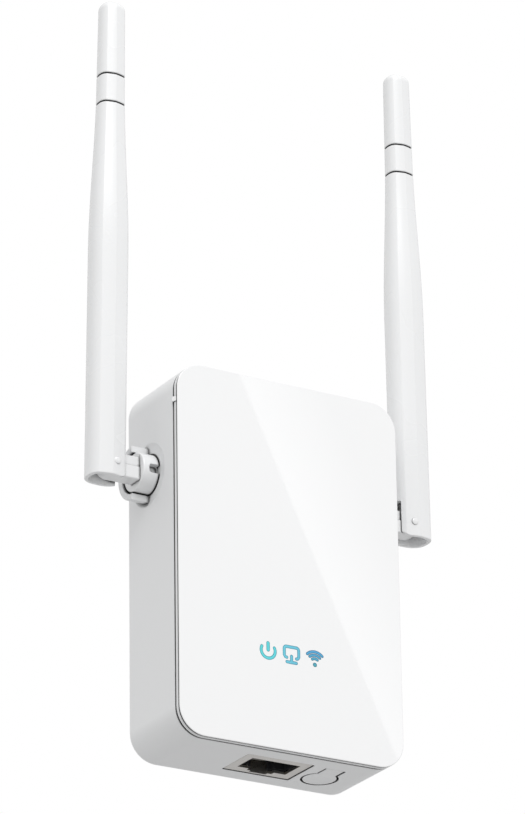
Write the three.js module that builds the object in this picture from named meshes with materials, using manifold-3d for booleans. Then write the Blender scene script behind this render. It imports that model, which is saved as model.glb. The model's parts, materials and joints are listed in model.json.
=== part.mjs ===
// Plug-in wifi range extender with two folding antennas.
// Millimetres. +X right, +Y towards the wall, +Z up, seen from the front.
// Origin: midway between the two plug blades, on the flat back of the housing.
import * as THREE from "three";
import { mergeVertices } from "three/addons/utils/BufferGeometryUtils.js";
import Module from "manifold-3d";

const wasm = await Module();
wasm.setup();

// ---- driving dimensions ----------------------------------------------------
const GAP = 0.3;                     // clearance between neighbouring pieces
const HOUSING = { width: 55, height: 84, depth: 22, corner: 6.2, wall: 1.8, seam: 20.4 };
const MID_Z = -14.5;                 // centre height of the housing, below the plug
const TOP_Z = MID_Z + HOUSING.height / 2;
const BOTTOM_Z = MID_Z - HOUSING.height / 2;
const PANEL = { edge: 0.35, thick: 0.95, rim: 1.2 };   // a full-size face on a plug that fits the cover
const ICONS = { x: -0.1, pitch: 5.75, z: MID_Z - 20.4, window: 4.6 };

const BLADE = { pitch: 12.7, tall: 6.35, thick: 1.5, out: 17, inside: 7, hole: 1.6, holeAt: 12 };
const CARRIER = { width: 22, height: 12, front: -6.6 };
const VENTS = { count: 9, pitch: 3.6, width: 1.4, length: 9 };
const LABEL = { width: 34, height: 22, deep: 0.3, z: MID_Z - 18 };

const BOARD = { front: -17.5, back: -16.3, width: 47.6, top: MID_Z + 38, bottom: MID_Z - 38.9 };
const POWER_BOARD = { front: -3.6, back: -2.4, width: 43, top: MID_Z + 29.5, bottom: MID_Z - 24 };
const BOSS = { radius: 2.2, bore: 1.25, x: 20.4, upper: MID_Z + 34.5, lower: MID_Z - 32 };

const JACK = { x: 0.5, y: -10.65, width: 15.9, height: 10.8, length: 15, skin: 0.7 };
const SOCKET = { width: 11.8, front: -14.1, rear: -7.7, deep: 10 };
const LATCH_STEPS = [{ width: 6.2, rear: -6.7 }, { width: 4.2, rear: -5.9 }];
const CONTACT = { count: 8, pitch: 1.02, width: 0.4, thick: 0.3 };

const KEY = {
  x: 14.2, y: -8.9, radius: 3.7, tongue: 4.2, root: -15.6, rootGap: 0.12, slot: 0.45, thick: 1.5,
};
const SWITCH = { y: -10, width: 6, height: 4, plunger: 1.0, rest: BOTTOM_Z + 3.3 };

// hinge of the left antenna; the right one is its mirror image
const DRUM = { y: -9.1, z: MID_Z + 19.9, radius: 4.4, out: 3.5, neck: 3.1, bore: 1.0 };
const COLLAR = { outer: 6.2, inner: 4.75, out: 4.0, dish: 7.0, dishDeep: 0.35, pocketDeep: 0.6 };
const ARM = { y: -9.9, thick: 4.0, half: 2.6 };
const PIN = { x: -37.4, radius: 0.7, front: -2.95, rear: 3.2 };
const SLEEVE = {
  y: -9.95, offset: -1.1, halfWidth: 4.3, halfDepth: 3.8, power: 2.5, crease: 3.05, wall: 1.1,
  bottom: -3.4, top: 110.8, tipRound: 1.7, slot: [-2.2, 2.3], slotTop: 5, corner: 3,
};
const LEAN = { left: 1, right: 0.4 };   // degrees towards the middle, as the antennas are set by hand
const NECKING = { from: 50, to: 90, scale: 0.715, tipScale: 0.668 };
const GROOVES = { heights: [85.5, 92.4], width: 0.45, deep: 0.4 };

// ---- colours ----------------------------------------------------------------
const finish = (color, roughness, metalness = 0) => ({ color, roughness, metalness });
const SATIN_WHITE = finish(0xf1f2f3, 0.5);
const GLOSS_WHITE = finish(0xfafbfc, 0.12);
const STEEL = finish(0xb9b6b0, 0.35, 0.9);
const BRASS = finish(0xc9a860, 0.3, 1);
const NICKEL = finish(0xc6c8ca, 0.28, 1);
const DARK_PLASTIC = finish(0x26282b, 0.5);
const BOARD_GREEN = finish(0x1f5b3a, 0.45);
const CLEAR = finish(0xe9f3f4, 0.15);
const AMBER = finish(0xd8a33a, 0.5);
const FERRITE = finish(0x3b3b3e, 0.7);

// ---- solids -----------------------------------------------------------------
function solid(geometry) {
  const bare = geometry.index ? geometry.clone() : geometry;
  for (const name of Object.keys(bare.attributes)) {
    if (name !== "position") bare.deleteAttribute(name);
  }
  const merged = mergeVertices(bare, 1e-4);
  const vertProperties = new Float32Array(merged.attributes.position.array);
  const triVerts = new Uint32Array(merged.index.array);
  return new wasm.Manifold(new wasm.Mesh({ numProp: 3, vertProperties, triVerts }));
}

function geometryOf(manifold) {
  const mesh = manifold.getMesh();
  const geometry = new THREE.BufferGeometry();
  geometry.setAttribute("position", new THREE.BufferAttribute(new Float32Array(mesh.vertProperties), 3));
  geometry.setIndex(new THREE.BufferAttribute(new Uint32Array(mesh.triVerts), 1));
  geometry.computeVertexNormals();
  return geometry;
}

const join = (first, ...others) => others.reduce((whole, piece) => whole.add(piece), first);
const cut = (first, ...others) => others.reduce((whole, piece) => whole.subtract(piece), first);

function box([x0, x1], [y0, y1], [z0, z1]) {
  const geometry = new THREE.BoxGeometry(x1 - x0, y1 - y0, z1 - z0);
  return solid(geometry.translate((x0 + x1) / 2, (y0 + y1) / 2, (z0 + z1) / 2));
}

function rod(axis, at, radius, from, to, sides = 32) {
  const geometry = new THREE.CylinderGeometry(radius, radius, to - from, sides);
  const middle = (from + to) / 2;
  if (axis === "x") return solid(geometry.rotateZ(Math.PI / 2).translate(middle, at[0], at[1]));
  if (axis === "y") return solid(geometry.translate(at[0], middle, at[1]));
  return solid(geometry.rotateX(Math.PI / 2).translate(at[0], at[1], middle));
}

const ring = (axis, at, outer, inner, from, to, sides = 32) =>
  cut(rod(axis, at, outer, from, to, sides), rod(axis, at, inner, from - 1, to + 1, sides));

function roundedRect(width, height, radius) {
  const [x, y] = [width / 2, height / 2];
  const shape = new THREE.Shape();
  shape.moveTo(x, -y + radius);
  shape.absarc(x - radius, y - radius, radius, 0, Math.PI / 2);
  shape.absarc(-x + radius, y - radius, radius, Math.PI / 2, Math.PI);
  shape.absarc(-x + radius, -y + radius, radius, Math.PI, 1.5 * Math.PI);
  shape.absarc(x - radius, -y + radius, radius, 1.5 * Math.PI, 2 * Math.PI);
  return shape;
}

// a plate whose outline lies in X and Z, between two depths in Y
function plate(shape, back, front, x = 0, z = MID_Z, arcs = 10) {
  const settings = { depth: back - front, bevelEnabled: false, curveSegments: arcs };
  const geometry = new THREE.ExtrudeGeometry(shape, settings);
  return solid(geometry.rotateX(Math.PI / 2).translate(x, back, z));
}

function polygon(points) {
  return new THREE.Shape(points.map(([x, y]) => new THREE.Vector2(x, y)));
}

// an outline in Y and Z, extruded along X
function profileAlongX(shape, from, to) {
  const geometry = new THREE.ExtrudeGeometry(shape, { depth: to - from, bevelEnabled: false });
  const turn = new THREE.Matrix4().makeBasis(
    new THREE.Vector3(0, 1, 0), new THREE.Vector3(0, 0, 1), new THREE.Vector3(1, 0, 0));
  return solid(geometry.applyMatrix4(turn).translate(from, 0, 0));
}

function mirrored(geometry) {
  const copy = geometry.clone().scale(-1, 1, 1);
  const index = copy.index.array;
  for (let i = 0; i < index.length; i += 3) [index[i + 1], index[i + 2]] = [index[i + 2], index[i + 1]];
  copy.computeVertexNormals();
  return copy;
}

const extender = new THREE.Group();

function piece(name, shape, look, parent = extender) {
  const geometry = shape.isBufferGeometry ? shape : geometryOf(shape);
  const mesh = new THREE.Mesh(geometry, new THREE.MeshStandardMaterial(look));
  mesh.name = name;
  parent.add(mesh);
  return mesh;
}

// ---- rear housing -------------------------------------------------------------
function keyOutline(radius, tongue, root) {
  const meet = Math.asin(tongue / 2 / radius);
  const shape = new THREE.Shape();
  shape.moveTo(-tongue / 2, root - KEY.y);
  shape.lineTo(tongue / 2, root - KEY.y);
  shape.absarc(0, 0, radius, meet - Math.PI / 2, 1.5 * Math.PI - meet);
  return shape;
}

function keySolid(grow, from, to) {
  const root = KEY.root - Math.min(grow, KEY.rootGap);
  const outline = keyOutline(KEY.radius + grow, KEY.tongue + 2 * grow, root);
  const settings = { depth: to - from, bevelEnabled: false, curveSegments: 30 };
  const geometry = new THREE.ExtrudeGeometry(outline, settings);
  return solid(geometry.translate(KEY.x, KEY.y, from));
}

function collarSide(side) {
  const wall = (side * HOUSING.width) / 2;
  const spanX = (...places) => places.map((place) => wall + side * place).sort((a, b) => a - b);
  const at = [DRUM.y, DRUM.z];
  const [inner, tip] = spanX(-0.4, COLLAR.out);
  const rearHalf = box([inner - 1, tip + 1], [DRUM.y - 0.2, DRUM.y + 9], [DRUM.z - 9, DRUM.z + 9]);
  const collar = ring("x", at, COLLAR.outer, COLLAR.inner, inner, tip, 40).intersect(rearHalf);
  const [dish0, dish1] = spanX(-COLLAR.dishDeep, 1);
  const dish = rod("x", at, COLLAR.dish, dish0, dish1, 40).subtract(rearHalf);
  const [pocket0, pocket1] = spanX(-COLLAR.pocketDeep, COLLAR.out + 1);
  const pocket = rod("x", at, COLLAR.inner, pocket0, pocket1, 40);
  const [hole0, hole1] = spanX(-HOUSING.wall - 1, 1);
  const hole = rod("x", at, DRUM.neck + GAP, hole0, hole1, 24);
  return { collar, cuts: [dish, pocket, hole] };
}

function rearHousing() {
  const { width, height, corner, wall, seam } = HOUSING;
  const shell = plate(roundedRect(width, height, corner), 0, GAP - seam);
  const hollow = plate(roundedRect(width - 2 * wall, height - 2 * wall, corner - wall), -wall, -seam - 1);
  let tub = cut(shell, hollow);
  for (const x of [-BOSS.x, BOSS.x]) {
    for (const z of [BOSS.lower, BOSS.upper]) {
      const boss = rod("y", [x, z], BOSS.radius, BOARD.back + GAP, -wall + 0.1, 20);
      tub = cut(join(tub, boss), rod("y", [x, z], BOSS.bore, BOARD.back - 1, -7, 16));
    }
  }
  for (const side of [-1, 1]) {
    const { collar, cuts } = collarSide(side);
    tub = cut(join(tub, collar), ...cuts);
  }
  for (const x of [-BLADE.pitch / 2, BLADE.pitch / 2]) {
    const [halfX, halfZ] = [BLADE.thick / 2 + GAP, BLADE.tall / 2 + GAP];
    tub = cut(tub, box([x - halfX, x + halfX], [-wall - 1, 1], [-halfZ, halfZ]));
  }
  const [jackX, jackY] = [JACK.width / 2 + 0.25, JACK.height / 2 + 0.25];
  const floorZ = [BOTTOM_Z - 1, BOTTOM_Z + 4];
  const jackWindow = box([JACK.x - jackX, JACK.x + jackX], [JACK.y - jackY, JACK.y + jackY], floorZ);
  tub = cut(tub, jackWindow, keySolid(KEY.slot, ...floorZ));
  for (let i = 0; i < VENTS.count; i++) {
    const x = (i - (VENTS.count - 1) / 2) * VENTS.pitch;
    const middle = -HOUSING.seam / 2;
    const spanY = [middle - VENTS.length / 2, middle + VENTS.length / 2];
    tub = cut(tub, box([x - VENTS.width / 2, x + VENTS.width / 2], spanY, [TOP_Z - 4, TOP_Z + 1]));
  }
  const label = plate(roundedRect(LABEL.width, LABEL.height, 1.5), 1, -LABEL.deep, 0, LABEL.z, 4);
  return cut(tub, label);
}

// ---- front cover, panel and lights ----------------------------------------------
const iconX = [-1, 0, 1].map((step) => ICONS.x + step * ICONS.pitch);

function frontCover() {
  const { width, height, depth, corner, wall, seam } = HOUSING;
  const panelBack = -depth + PANEL.thick + 0.05;
  const body = plate(roundedRect(width, height, corner), -seam, -depth + PANEL.edge + GAP);
  const { rim } = PANEL;
  const recess = plate(roundedRect(width - 2 * rim, height - 2 * rim, corner - rim), panelBack, -depth - 1);
  const inset = 2 * wall + 2 * GAP;
  const lipOuter = roundedRect(width - inset, height - inset, corner - wall - GAP);
  const lipInner = roundedRect(width - inset - 2, height - inset - 2, corner - wall - GAP - 1);
  const lip = cut(plate(lipOuter, -seam + 2, -seam - 0.1), plate(lipInner, -seam + 3, -seam));
  const tabY = [-depth + PANEL.edge + 0.1, -seam + 0.1];
  const tab = box([-width / 2 - 0.25, -width / 2 + 0.2], tabY, [MID_Z + 31.9, MID_Z + 33.9]);
  let cover = join(cut(body, recess), lip, tab);
  for (const x of iconX) {
    const half = ICONS.window / 2;
    cover = cut(cover, box([x - half, x + half], [-depth - 1, -seam + 1], [ICONS.z - half, ICONS.z + half]));
  }
  return cover;
}

function frontPanel() {
  const { width, height, depth, corner } = HOUSING;
  const face = plate(roundedRect(width, height, corner), -depth + PANEL.edge, -depth);
  const less = 2 * PANEL.rim + 0.3;
  const outline = roundedRect(width - less, height - less, corner - less / 2);
  return join(face, plate(outline, -depth + PANEL.thick, -depth + 0.1));
}

function lightGuide() {
  const half = ICONS.window / 2 - GAP;
  const back = BOARD.front - 1.4;
  const spanZ = [ICONS.z - half, ICONS.z + half];
  const bar = box([iconX[0] - half, iconX[2] + half], [-HOUSING.seam + GAP, back], spanZ);
  const front = -HOUSING.depth + PANEL.thick + GAP;
  const posts = iconX.map((x) => box([x - half, x + half], [front, back], spanZ));
  return join(bar, ...posts);
}

// ---- main board and what is on it ------------------------------------------------
function mainBoard() {
  const height = BOARD.top - BOARD.bottom;
  const middle = (BOARD.top + BOARD.bottom) / 2;
  let board = plate(roundedRect(BOARD.width, height, 3.6), BOARD.back, BOARD.front, 0, middle, 4);
  for (const x of [-BOSS.x, BOSS.x]) {
    for (const z of [BOSS.lower, BOSS.upper]) board = cut(board, rod("y", [x, z], 1.4, -20, -14, 16));
  }
  return board;
}

function screw(x, z) {
  const head = rod("y", [x, z], 1.9, BOARD.front - GAP - 1.1, BOARD.front - GAP, 20);
  const shank = rod("y", [x, z], 0.95, BOARD.front - GAP - 0.1, -8, 16);
  const slots = [[1.3, 0.18], [0.18, 1.3]].map(([halfX, halfZ]) =>
    box([x - halfX, x + halfX], [BOARD.front - 3, BOARD.front - GAP - 0.6], [z - halfZ, z + halfZ]));
  return cut(join(head, shank), ...slots);
}

function shieldCan() {
  const [x0, x1, z0, z1] = [-9, 9, MID_Z - 7, MID_Z + 10];
  const can = box([x0, x1], [BOARD.front - 2, BOARD.front - 0.2], [z0, z1]);
  const inside = box([x0 + 0.3, x1 - 0.3], [BOARD.front - 1.7, BOARD.front], [z0 + 0.3, z1 - 0.3]);
  return cut(can, inside);
}

// ---- ethernet jack -----------------------------------------------------------------
function socketSpace(from, to) {
  const span = (width) => [JACK.x - width / 2, JACK.x + width / 2];
  const main = box(span(SOCKET.width), [SOCKET.front, SOCKET.rear], [from, to]);
  const steps = LATCH_STEPS.map(({ width, rear }) => box(span(width), [SOCKET.rear - 1, rear], [from, to]));
  return join(main, ...steps);
}

const jackTop = BOTTOM_Z + 0.1 + JACK.length;

function jackShell() {
  const [halfX, halfY, skin] = [JACK.width / 2, JACK.height / 2, JACK.skin];
  const spanX = (inset) => [JACK.x - halfX + inset, JACK.x + halfX - inset];
  const spanY = (inset) => [JACK.y - halfY + inset, JACK.y + halfY - inset];
  const outer = box(spanX(0), spanY(0), [BOTTOM_Z + 0.1, jackTop]);
  const inner = box(spanX(skin), spanY(skin), [BOTTOM_Z + 0.1 + skin, jackTop + 1]);
  const legWindow = box(spanX(2), [JACK.y - halfY - 1, JACK.y - halfY + 2], [BOTTOM_Z + 11, jackTop + 1]);
  return cut(outer, inner, socketSpace(BOTTOM_Z - 1, BOTTOM_Z + 3), legWindow);
}

const contactX = Array.from({ length: CONTACT.count }, (_, i) =>
  JACK.x + (i - (CONTACT.count - 1) / 2) * CONTACT.pitch);

function jackInsert() {
  const inset = JACK.skin + 0.2;
  const [halfX, halfY] = [JACK.width / 2 - inset, JACK.height / 2 - inset];
  const start = BOTTOM_Z + 0.1 + inset;
  const spanY = [JACK.y - halfY, JACK.y + halfY];
  const block = box([JACK.x - halfX, JACK.x + halfX], spanY, [start, jackTop - 0.2]);
  let insert = cut(block, socketSpace(start - 1, start + SOCKET.deep));
  for (const x of contactX) {
    const half = CONTACT.width / 2 + 0.1;
    insert = cut(insert, box([x - half, x + half], [-17, SOCKET.front + 2], [start + 7.8, jackTop + 1]));
  }
  return insert;
}

// spring wire: free end by the mouth, slanting in, then down to the board
function contact(x) {
  const mouth = BOTTOM_Z + 2.2;
  const { thick, width } = CONTACT;
  const route = [
    [SOCKET.front + 0.15, mouth], [SOCKET.front + 1.2, mouth + 7.6],
    [SOCKET.front + 1.2, mouth + 9.4], [BOARD.back + GAP, mouth + 9.4],
    [BOARD.back + GAP, mouth + 9.4 + thick], [SOCKET.front + 1.2 + thick, mouth + 9.4 + thick],
    [SOCKET.front + 1.2 + thick, mouth + 7.5], [SOCKET.front + 0.15 + thick, mouth],
  ];
  return profileAlongX(polygon(route), x - width / 2, x + width / 2);
}

// ---- key and switch -------------------------------------------------------------------
function resetButton() {
  const pad = keySolid(0, BOTTOM_Z, BOTTOM_Z + KEY.thick);
  const post = rod("z", [KEY.x, SWITCH.y], 1.1, BOTTOM_Z + KEY.thick - 0.1, SWITCH.rest - GAP, 16);
  return join(pad, post);
}

function switchBody() {
  const start = SWITCH.rest + 1.1;
  const span = [KEY.x - SWITCH.width / 2, KEY.x + SWITCH.width / 2];
  const body = box(span, [BOARD.back + GAP, SWITCH.y + 2.6], [start, start + SWITCH.height]);
  return cut(body, rod("z", [KEY.x, SWITCH.y], SWITCH.plunger + 0.25, start - 1, start + 1.5, 20));
}

const switchPlunger = () => rod("z", [KEY.x, SWITCH.y], SWITCH.plunger, SWITCH.rest, SWITCH.rest + 1.9, 20);

// ---- mains plug and power board ----------------------------------------------------------
function blade(x) {
  const span = [x - BLADE.thick / 2, x + BLADE.thick / 2];
  const [half, out, chamfer] = [BLADE.tall / 2, BLADE.out, 1.2];
  const outline = polygon([
    [-BLADE.inside, -half], [out - chamfer, -half], [out, -half + chamfer],
    [out, half - chamfer], [out - chamfer, half], [-BLADE.inside, half],
  ]);
  const hole = rod("x", [BLADE.holeAt, 0], BLADE.hole, span[0] - 1, span[1] + 1, 20);
  return cut(profileAlongX(outline, ...span), hole);
}

function bladeCarrier() {
  const back = -HOUSING.wall - 0.2;
  const [halfWidth, halfHeight] = [CARRIER.width / 2, CARRIER.height / 2];
  let carrier = box([-halfWidth, halfWidth], [CARRIER.front, back], [-halfHeight, halfHeight]);
  for (const x of [-BLADE.pitch / 2, BLADE.pitch / 2]) {
    const [halfX, halfZ] = [BLADE.thick / 2 + 0.1, BLADE.tall / 2 + 0.1];
    carrier = cut(carrier, box([x - halfX, x + halfX], [CARRIER.front - 1, 0], [-halfZ, halfZ]));
  }
  return carrier;
}

// bent strip from the blade's inner end out to the power board
function mainsContact(side) {
  const [near, far, top] = [BLADE.pitch / 2 - 1, CARRIER.width / 2 + 2.4, -BLADE.inside - GAP];
  const outline = polygon([
    [side * near, top], [side * far, top], [side * far, POWER_BOARD.front - 0.2],
    [side * (far + 0.6), POWER_BOARD.front - 0.2], [side * (far + 0.6), top - 0.6], [side * near, top - 0.6],
  ]);
  const geometry = new THREE.ExtrudeGeometry(outline, { depth: 4, bevelEnabled: false });
  return solid(geometry.translate(0, 0, -2));
}

function powerBoard() {
  const height = POWER_BOARD.top - POWER_BOARD.bottom;
  const middle = (POWER_BOARD.top + POWER_BOARD.bottom) / 2;
  const outline = roundedRect(POWER_BOARD.width, height, 1.5);
  const board = plate(outline, POWER_BOARD.back, POWER_BOARD.front, 0, middle, 3);
  const [halfX, halfZ] = [CARRIER.width / 2 + GAP, CARRIER.height / 2 + GAP];
  return cut(board, box([-halfX, halfX], [-5, 0], [-halfZ, halfZ]));
}

const onPowerBoard = POWER_BOARD.front - 0.2;

function transformerCore(x, z) {
  const outer = box([x - 7.5, x + 7.5], [onPowerBoard - 11, onPowerBoard - 0.6], [z - 2.6, z + 2.6]);
  return cut(outer, box([x - 5.4, x + 5.4], [onPowerBoard - 9.2, onPowerBoard - 2.4], [z - 4, z + 4]));
}

const transformerWinding = (x, z) =>
  box([x - 5.1, x + 5.1], [onPowerBoard - 8.9, onPowerBoard - 2.7], [z - 6.6, z + 6.6]);

// upright can with a rolled neck, lying along Z
function capacitor(x, z, radius, length) {
  const profile = [
    [0, 0], [radius - 0.4, 0], [radius, 0.4], [radius, 1.6], [radius - 0.5, 2.1], [radius, 2.6],
    [radius, length - 0.4], [radius - 0.4, length], [0, length],
  ];
  const geometry = new THREE.LatheGeometry(profile.map(([r, h]) => new THREE.Vector2(r, h)), 24);
  return solid(geometry.rotateX(Math.PI / 2).translate(x, onPowerBoard - radius - 0.2, z));
}

// ---- antenna and its hinge, left side ------------------------------------------------------
const creaseShare = (SLEEVE.crease / SLEEVE.halfWidth) ** SLEEVE.power;
const creaseDepth = SLEEVE.halfDepth * (1 - creaseShare) ** (1 / SLEEVE.power);
const creaseAngle = Math.atan2(SLEEVE.crease, creaseDepth);

// section radius at an angle, before scaling: a soft-cornered oval with two facets in front
function sectionRadius(angle, inset = 0) {
  const [a, b, power] = [SLEEVE.halfWidth - inset, SLEEVE.halfDepth - inset, SLEEVE.power];
  const [c, s] = [Math.abs(Math.cos(angle)), Math.sin(angle)];
  const oval = ((c / a) ** power + (Math.abs(s) / b) ** power) ** (-1 / power);
  if (s >= 0) return oval;
  const facet = b / (-s + (c * (SLEEVE.halfDepth - creaseDepth)) / SLEEVE.crease);
  return Math.min(oval, facet);
}

const AROUND = 18;                   // facets round the sides and back of a section

function sectionAngle(i) {
  if (i <= 2) return -Math.PI / 2 + (i - 1) * creaseAngle;
  return -Math.PI / 2 + creaseAngle + ((i - 2) * (2 * Math.PI - 2 * creaseAngle)) / AROUND;
}

function sleeveScale(z) {
  const t = THREE.MathUtils.smoothstep(z, NECKING.from, NECKING.to);
  if (z <= NECKING.to) return 1 - (1 - NECKING.scale) * t;
  const u = (z - NECKING.to) / (SLEEVE.top - NECKING.to);
  return NECKING.scale - (NECKING.scale - NECKING.tipScale) * u;
}

// stack of sections: rings are [height, amount taken off all round]
function loft(rings, inset = 0) {
  const sides = AROUND + 2;
  const geometry = new THREE.CylinderGeometry(1, 1, rings.length - 1, sides, rings.length - 1);
  const position = geometry.attributes.position;
  for (let i = 0; i < position.count; i++) {
    const [x, y, z] = [position.getX(i), position.getY(i), position.getZ(i)];
    const [height, less] = rings[Math.round(y + (rings.length - 1) / 2)];
    const onAxis = Math.hypot(x, z) < 0.5;
    const turn = Math.round((Math.atan2(x, z) / (2 * Math.PI)) * sides + sides) % sides;
    const angle = sectionAngle(turn);
    const reach = onAxis ? 0 : sectionRadius(angle, inset) * sleeveScale(height) - less;
    position.setXYZ(i, reach * Math.cos(angle), reach * Math.sin(angle), height);
  }
  return solid(geometry);
}

function sleeveRings() {
  const rings = [[SLEEVE.bottom, 0], [NECKING.from, 0]];
  for (let z = NECKING.from + 6; z < GROOVES.heights[0] - 2; z += 6) rings.push([z, 0]);
  for (const z of GROOVES.heights) {
    rings.push([z - GROOVES.width, 0], [z, GROOVES.deep], [z + GROOVES.width, 0]);
  }
  const round = SLEEVE.tipRound;
  for (let i = 0; i <= 4; i++) {
    const turn = (i / 4) * 80 * (Math.PI / 180);
    rings.push([SLEEVE.top - round + round * Math.sin(turn), round * (1 - Math.cos(turn))]);
  }
  return rings;
}

function antennaSleeve() {
  const outer = loft(sleeveRings());
  const hollowAt = [SLEEVE.bottom - 1, NECKING.from, 64, 76, NECKING.to, SLEEVE.top - 4];
  const hollow = loft(hollowAt.map((z) => [z, 0]), SLEEVE.wall);
  const slot = box([1, 9], SLEEVE.slot, [SLEEVE.bottom - 1, SLEEVE.slotTop]);
  const [cornerX, cornerZ] = [SLEEVE.halfWidth + 0.2 - SLEEVE.corner, SLEEVE.bottom + SLEEVE.corner];
  const corner = cut(
    box([cornerX, cornerX + SLEEVE.corner + 1], [-6, 6], [SLEEVE.bottom - 1, cornerZ]),
    rod("y", [cornerX, cornerZ], SLEEVE.corner, -7, 7, 32));
  const pinHole = rod("y", [-SLEEVE.offset, 0], PIN.radius + 0.15, PIN.front - GAP / 2, 7, 16);
  return cut(outer, hollow, slot, corner, pinHole);
}

function hingeArm() {
  const at = [DRUM.y, DRUM.z];
  const wall = -HOUSING.width / 2;
  const headOut = wall - DRUM.out;
  const headIn = wall + GAP;
  const neckIn = wall + 3.5;
  const clipAt = wall + 2.75;
  const head = rod("x", at, DRUM.radius, headOut, headIn, 40);
  const neck = rod("x", at, DRUM.neck, headIn - 0.1, neckIn, 24);
  const spanY = [ARM.y - ARM.thick / 2, ARM.y + ARM.thick / 2];
  const arm = box([PIN.x, headOut + 0.1], spanY, [DRUM.z - ARM.half, DRUM.z + ARM.half]);
  const knuckle = rod("y", [PIN.x, DRUM.z], ARM.half, ...spanY, 32);
  const bore = rod("x", at, DRUM.bore, PIN.x + 3.2, neckIn + 1, 16);
  const exit = box([PIN.x + 3.2, PIN.x + 4.6], [DRUM.y - 1, DRUM.y + 1], [DRUM.z, DRUM.z + 4]);
  const pinHole = rod("y", [PIN.x, DRUM.z], PIN.radius + 0.15, -16, -4, 16);
  const groove = ring("x", at, DRUM.neck + 1, DRUM.neck - 0.7, clipAt - 0.3, clipAt + 0.3, 24);
  const window = box([headIn - 2.4, headIn + 0.1], [DRUM.y - 6, DRUM.y - 2.4], [DRUM.z - 1.1, DRUM.z + 0.9]);
  return cut(join(head, neck, arm, knuckle), bore, exit, pinHole, groove, window);
}

function retainingClip() {
  const clipAt = -HOUSING.width / 2 + 2.75;
  const at = [DRUM.y, DRUM.z];
  const washer = ring("x", at, 4.6, DRUM.neck - 0.5, clipAt - 0.2, clipAt + 0.2, 24);
  return cut(washer, box([clipAt - 1, clipAt + 1], [DRUM.y - 1.6, DRUM.y + 1.6], [DRUM.z - 6, DRUM.z]));
}

function frictionWasher() {
  const from = -HOUSING.width / 2 + HOUSING.wall + 0.15;
  return ring("x", [DRUM.y, DRUM.z], 5.2, DRUM.neck + 0.25, from, from + 0.35, 28);
}

const hingePin = () => rod("y", [-SLEEVE.offset, 0], PIN.radius, PIN.front, PIN.rear, 16);
const radiator = () => ring("z", [0, 0], 1.7, 0.95, 32, 58, 20);
const antennaCoax = () => rod("z", [0, 0], 0.6, 9, 92, 12);

function pigtail() {
  const points = [
    [-17, BOARD.back + 0.5, DRUM.z + 10], [-17, -14.6, DRUM.z + 9.8], [-17.2, -12.6, DRUM.z + 8.4],
    [-17.6, -10.6, DRUM.z + 5], [-18.4, -9.5, DRUM.z + 1.8], [-20.2, DRUM.y, DRUM.z + 0.15],
    [-22.5, DRUM.y, DRUM.z], [-26, DRUM.y, DRUM.z], [-30, DRUM.y, DRUM.z], [PIN.x + 3.6, DRUM.y, DRUM.z],
  ].map((point) => new THREE.Vector3(...point));
  const extrudePath = new THREE.CatmullRomCurve3(points, false, "centripetal");
  const section = new THREE.Shape().absarc(0, 0, 0.55, 0, 2 * Math.PI);
  const settings = { steps: 40, curveSegments: 4, bevelEnabled: false, extrudePath };
  return solid(new THREE.ExtrudeGeometry(section, settings));
}

function antennaSide(suffix, side) {
  const sided = (shape) => (side < 0 ? geometryOf(shape) : mirrored(geometryOf(shape)));
  piece(`hinge_arm_${suffix}`, sided(hingeArm()), GLOSS_WHITE);
  piece(`retaining_clip_${suffix}`, sided(retainingClip()), STEEL);
  piece(`friction_washer_${suffix}`, sided(frictionWasher()), DARK_PLASTIC);
  piece(`coax_pigtail_${suffix}`, sided(pigtail()), DARK_PLASTIC);

  const pivot = new THREE.Group();   // sits on the hinge pin and leans the antenna inwards
  pivot.position.set(-side * PIN.x, SLEEVE.y, DRUM.z);
  pivot.rotation.y = THREE.MathUtils.degToRad(-side * LEAN[suffix]);
  const centre = new THREE.Group();  // the sleeve's own axis, outboard of the pin
  centre.position.x = -side * SLEEVE.offset;
  pivot.add(centre);
  extender.add(pivot);
  piece(`antenna_sleeve_${suffix}`, sided(antennaSleeve()), GLOSS_WHITE, centre);
  piece(`hinge_pin_${suffix}`, sided(hingePin()), STEEL, centre);
  piece(`radiator_${suffix}`, sided(radiator()), BRASS, centre);
  piece(`antenna_coax_${suffix}`, sided(antennaCoax()), DARK_PLASTIC, centre);
}

// ---- assembly ---------------------------------------------------------------------------------
piece("rear_housing", rearHousing(), SATIN_WHITE);
piece("front_cover", frontCover(), SATIN_WHITE);
piece("front_panel", frontPanel(), GLOSS_WHITE);
piece("light_guide", lightGuide(), CLEAR);
["power", "link", "wifi"].forEach((name, i) => {
  const span = [iconX[i] - 0.8, iconX[i] + 0.8];
  const lamp = box(span, [BOARD.front - 0.9, BOARD.front - 0.2], [ICONS.z - 0.5, ICONS.z + 0.5]);
  piece(`led_${name}`, lamp, CLEAR);
});

piece("main_board", mainBoard(), BOARD_GREEN);
piece("shield_can", shieldCan(), NICKEL);
const wifiChip = box([-4, 4], [BOARD.front - 1.1, BOARD.front - 0.2], [MID_Z - 2, MID_Z + 6]);
piece("wifi_chip", wifiChip, DARK_PLASTIC);
piece("lan_magnetics", box([-6, 6], [BOARD.back + 0.2, -13.2], [MID_Z - 25.5, MID_Z - 19]), DARK_PLASTIC);
let screwNumber = 1;
for (const z of [BOSS.upper, BOSS.lower]) {
  for (const x of [-BOSS.x, BOSS.x]) piece(`board_screw_${screwNumber++}`, screw(x, z), STEEL);
}

piece("jack_shell", jackShell(), STEEL);
piece("jack_insert", jackInsert(), DARK_PLASTIC);
contactX.forEach((x, i) => piece(`jack_contact_${i + 1}`, contact(x), BRASS));

piece("reset_button", resetButton(), SATIN_WHITE);
piece("switch_body", switchBody(), DARK_PLASTIC);
piece("switch_plunger", switchPlunger(), SATIN_WHITE);

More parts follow.
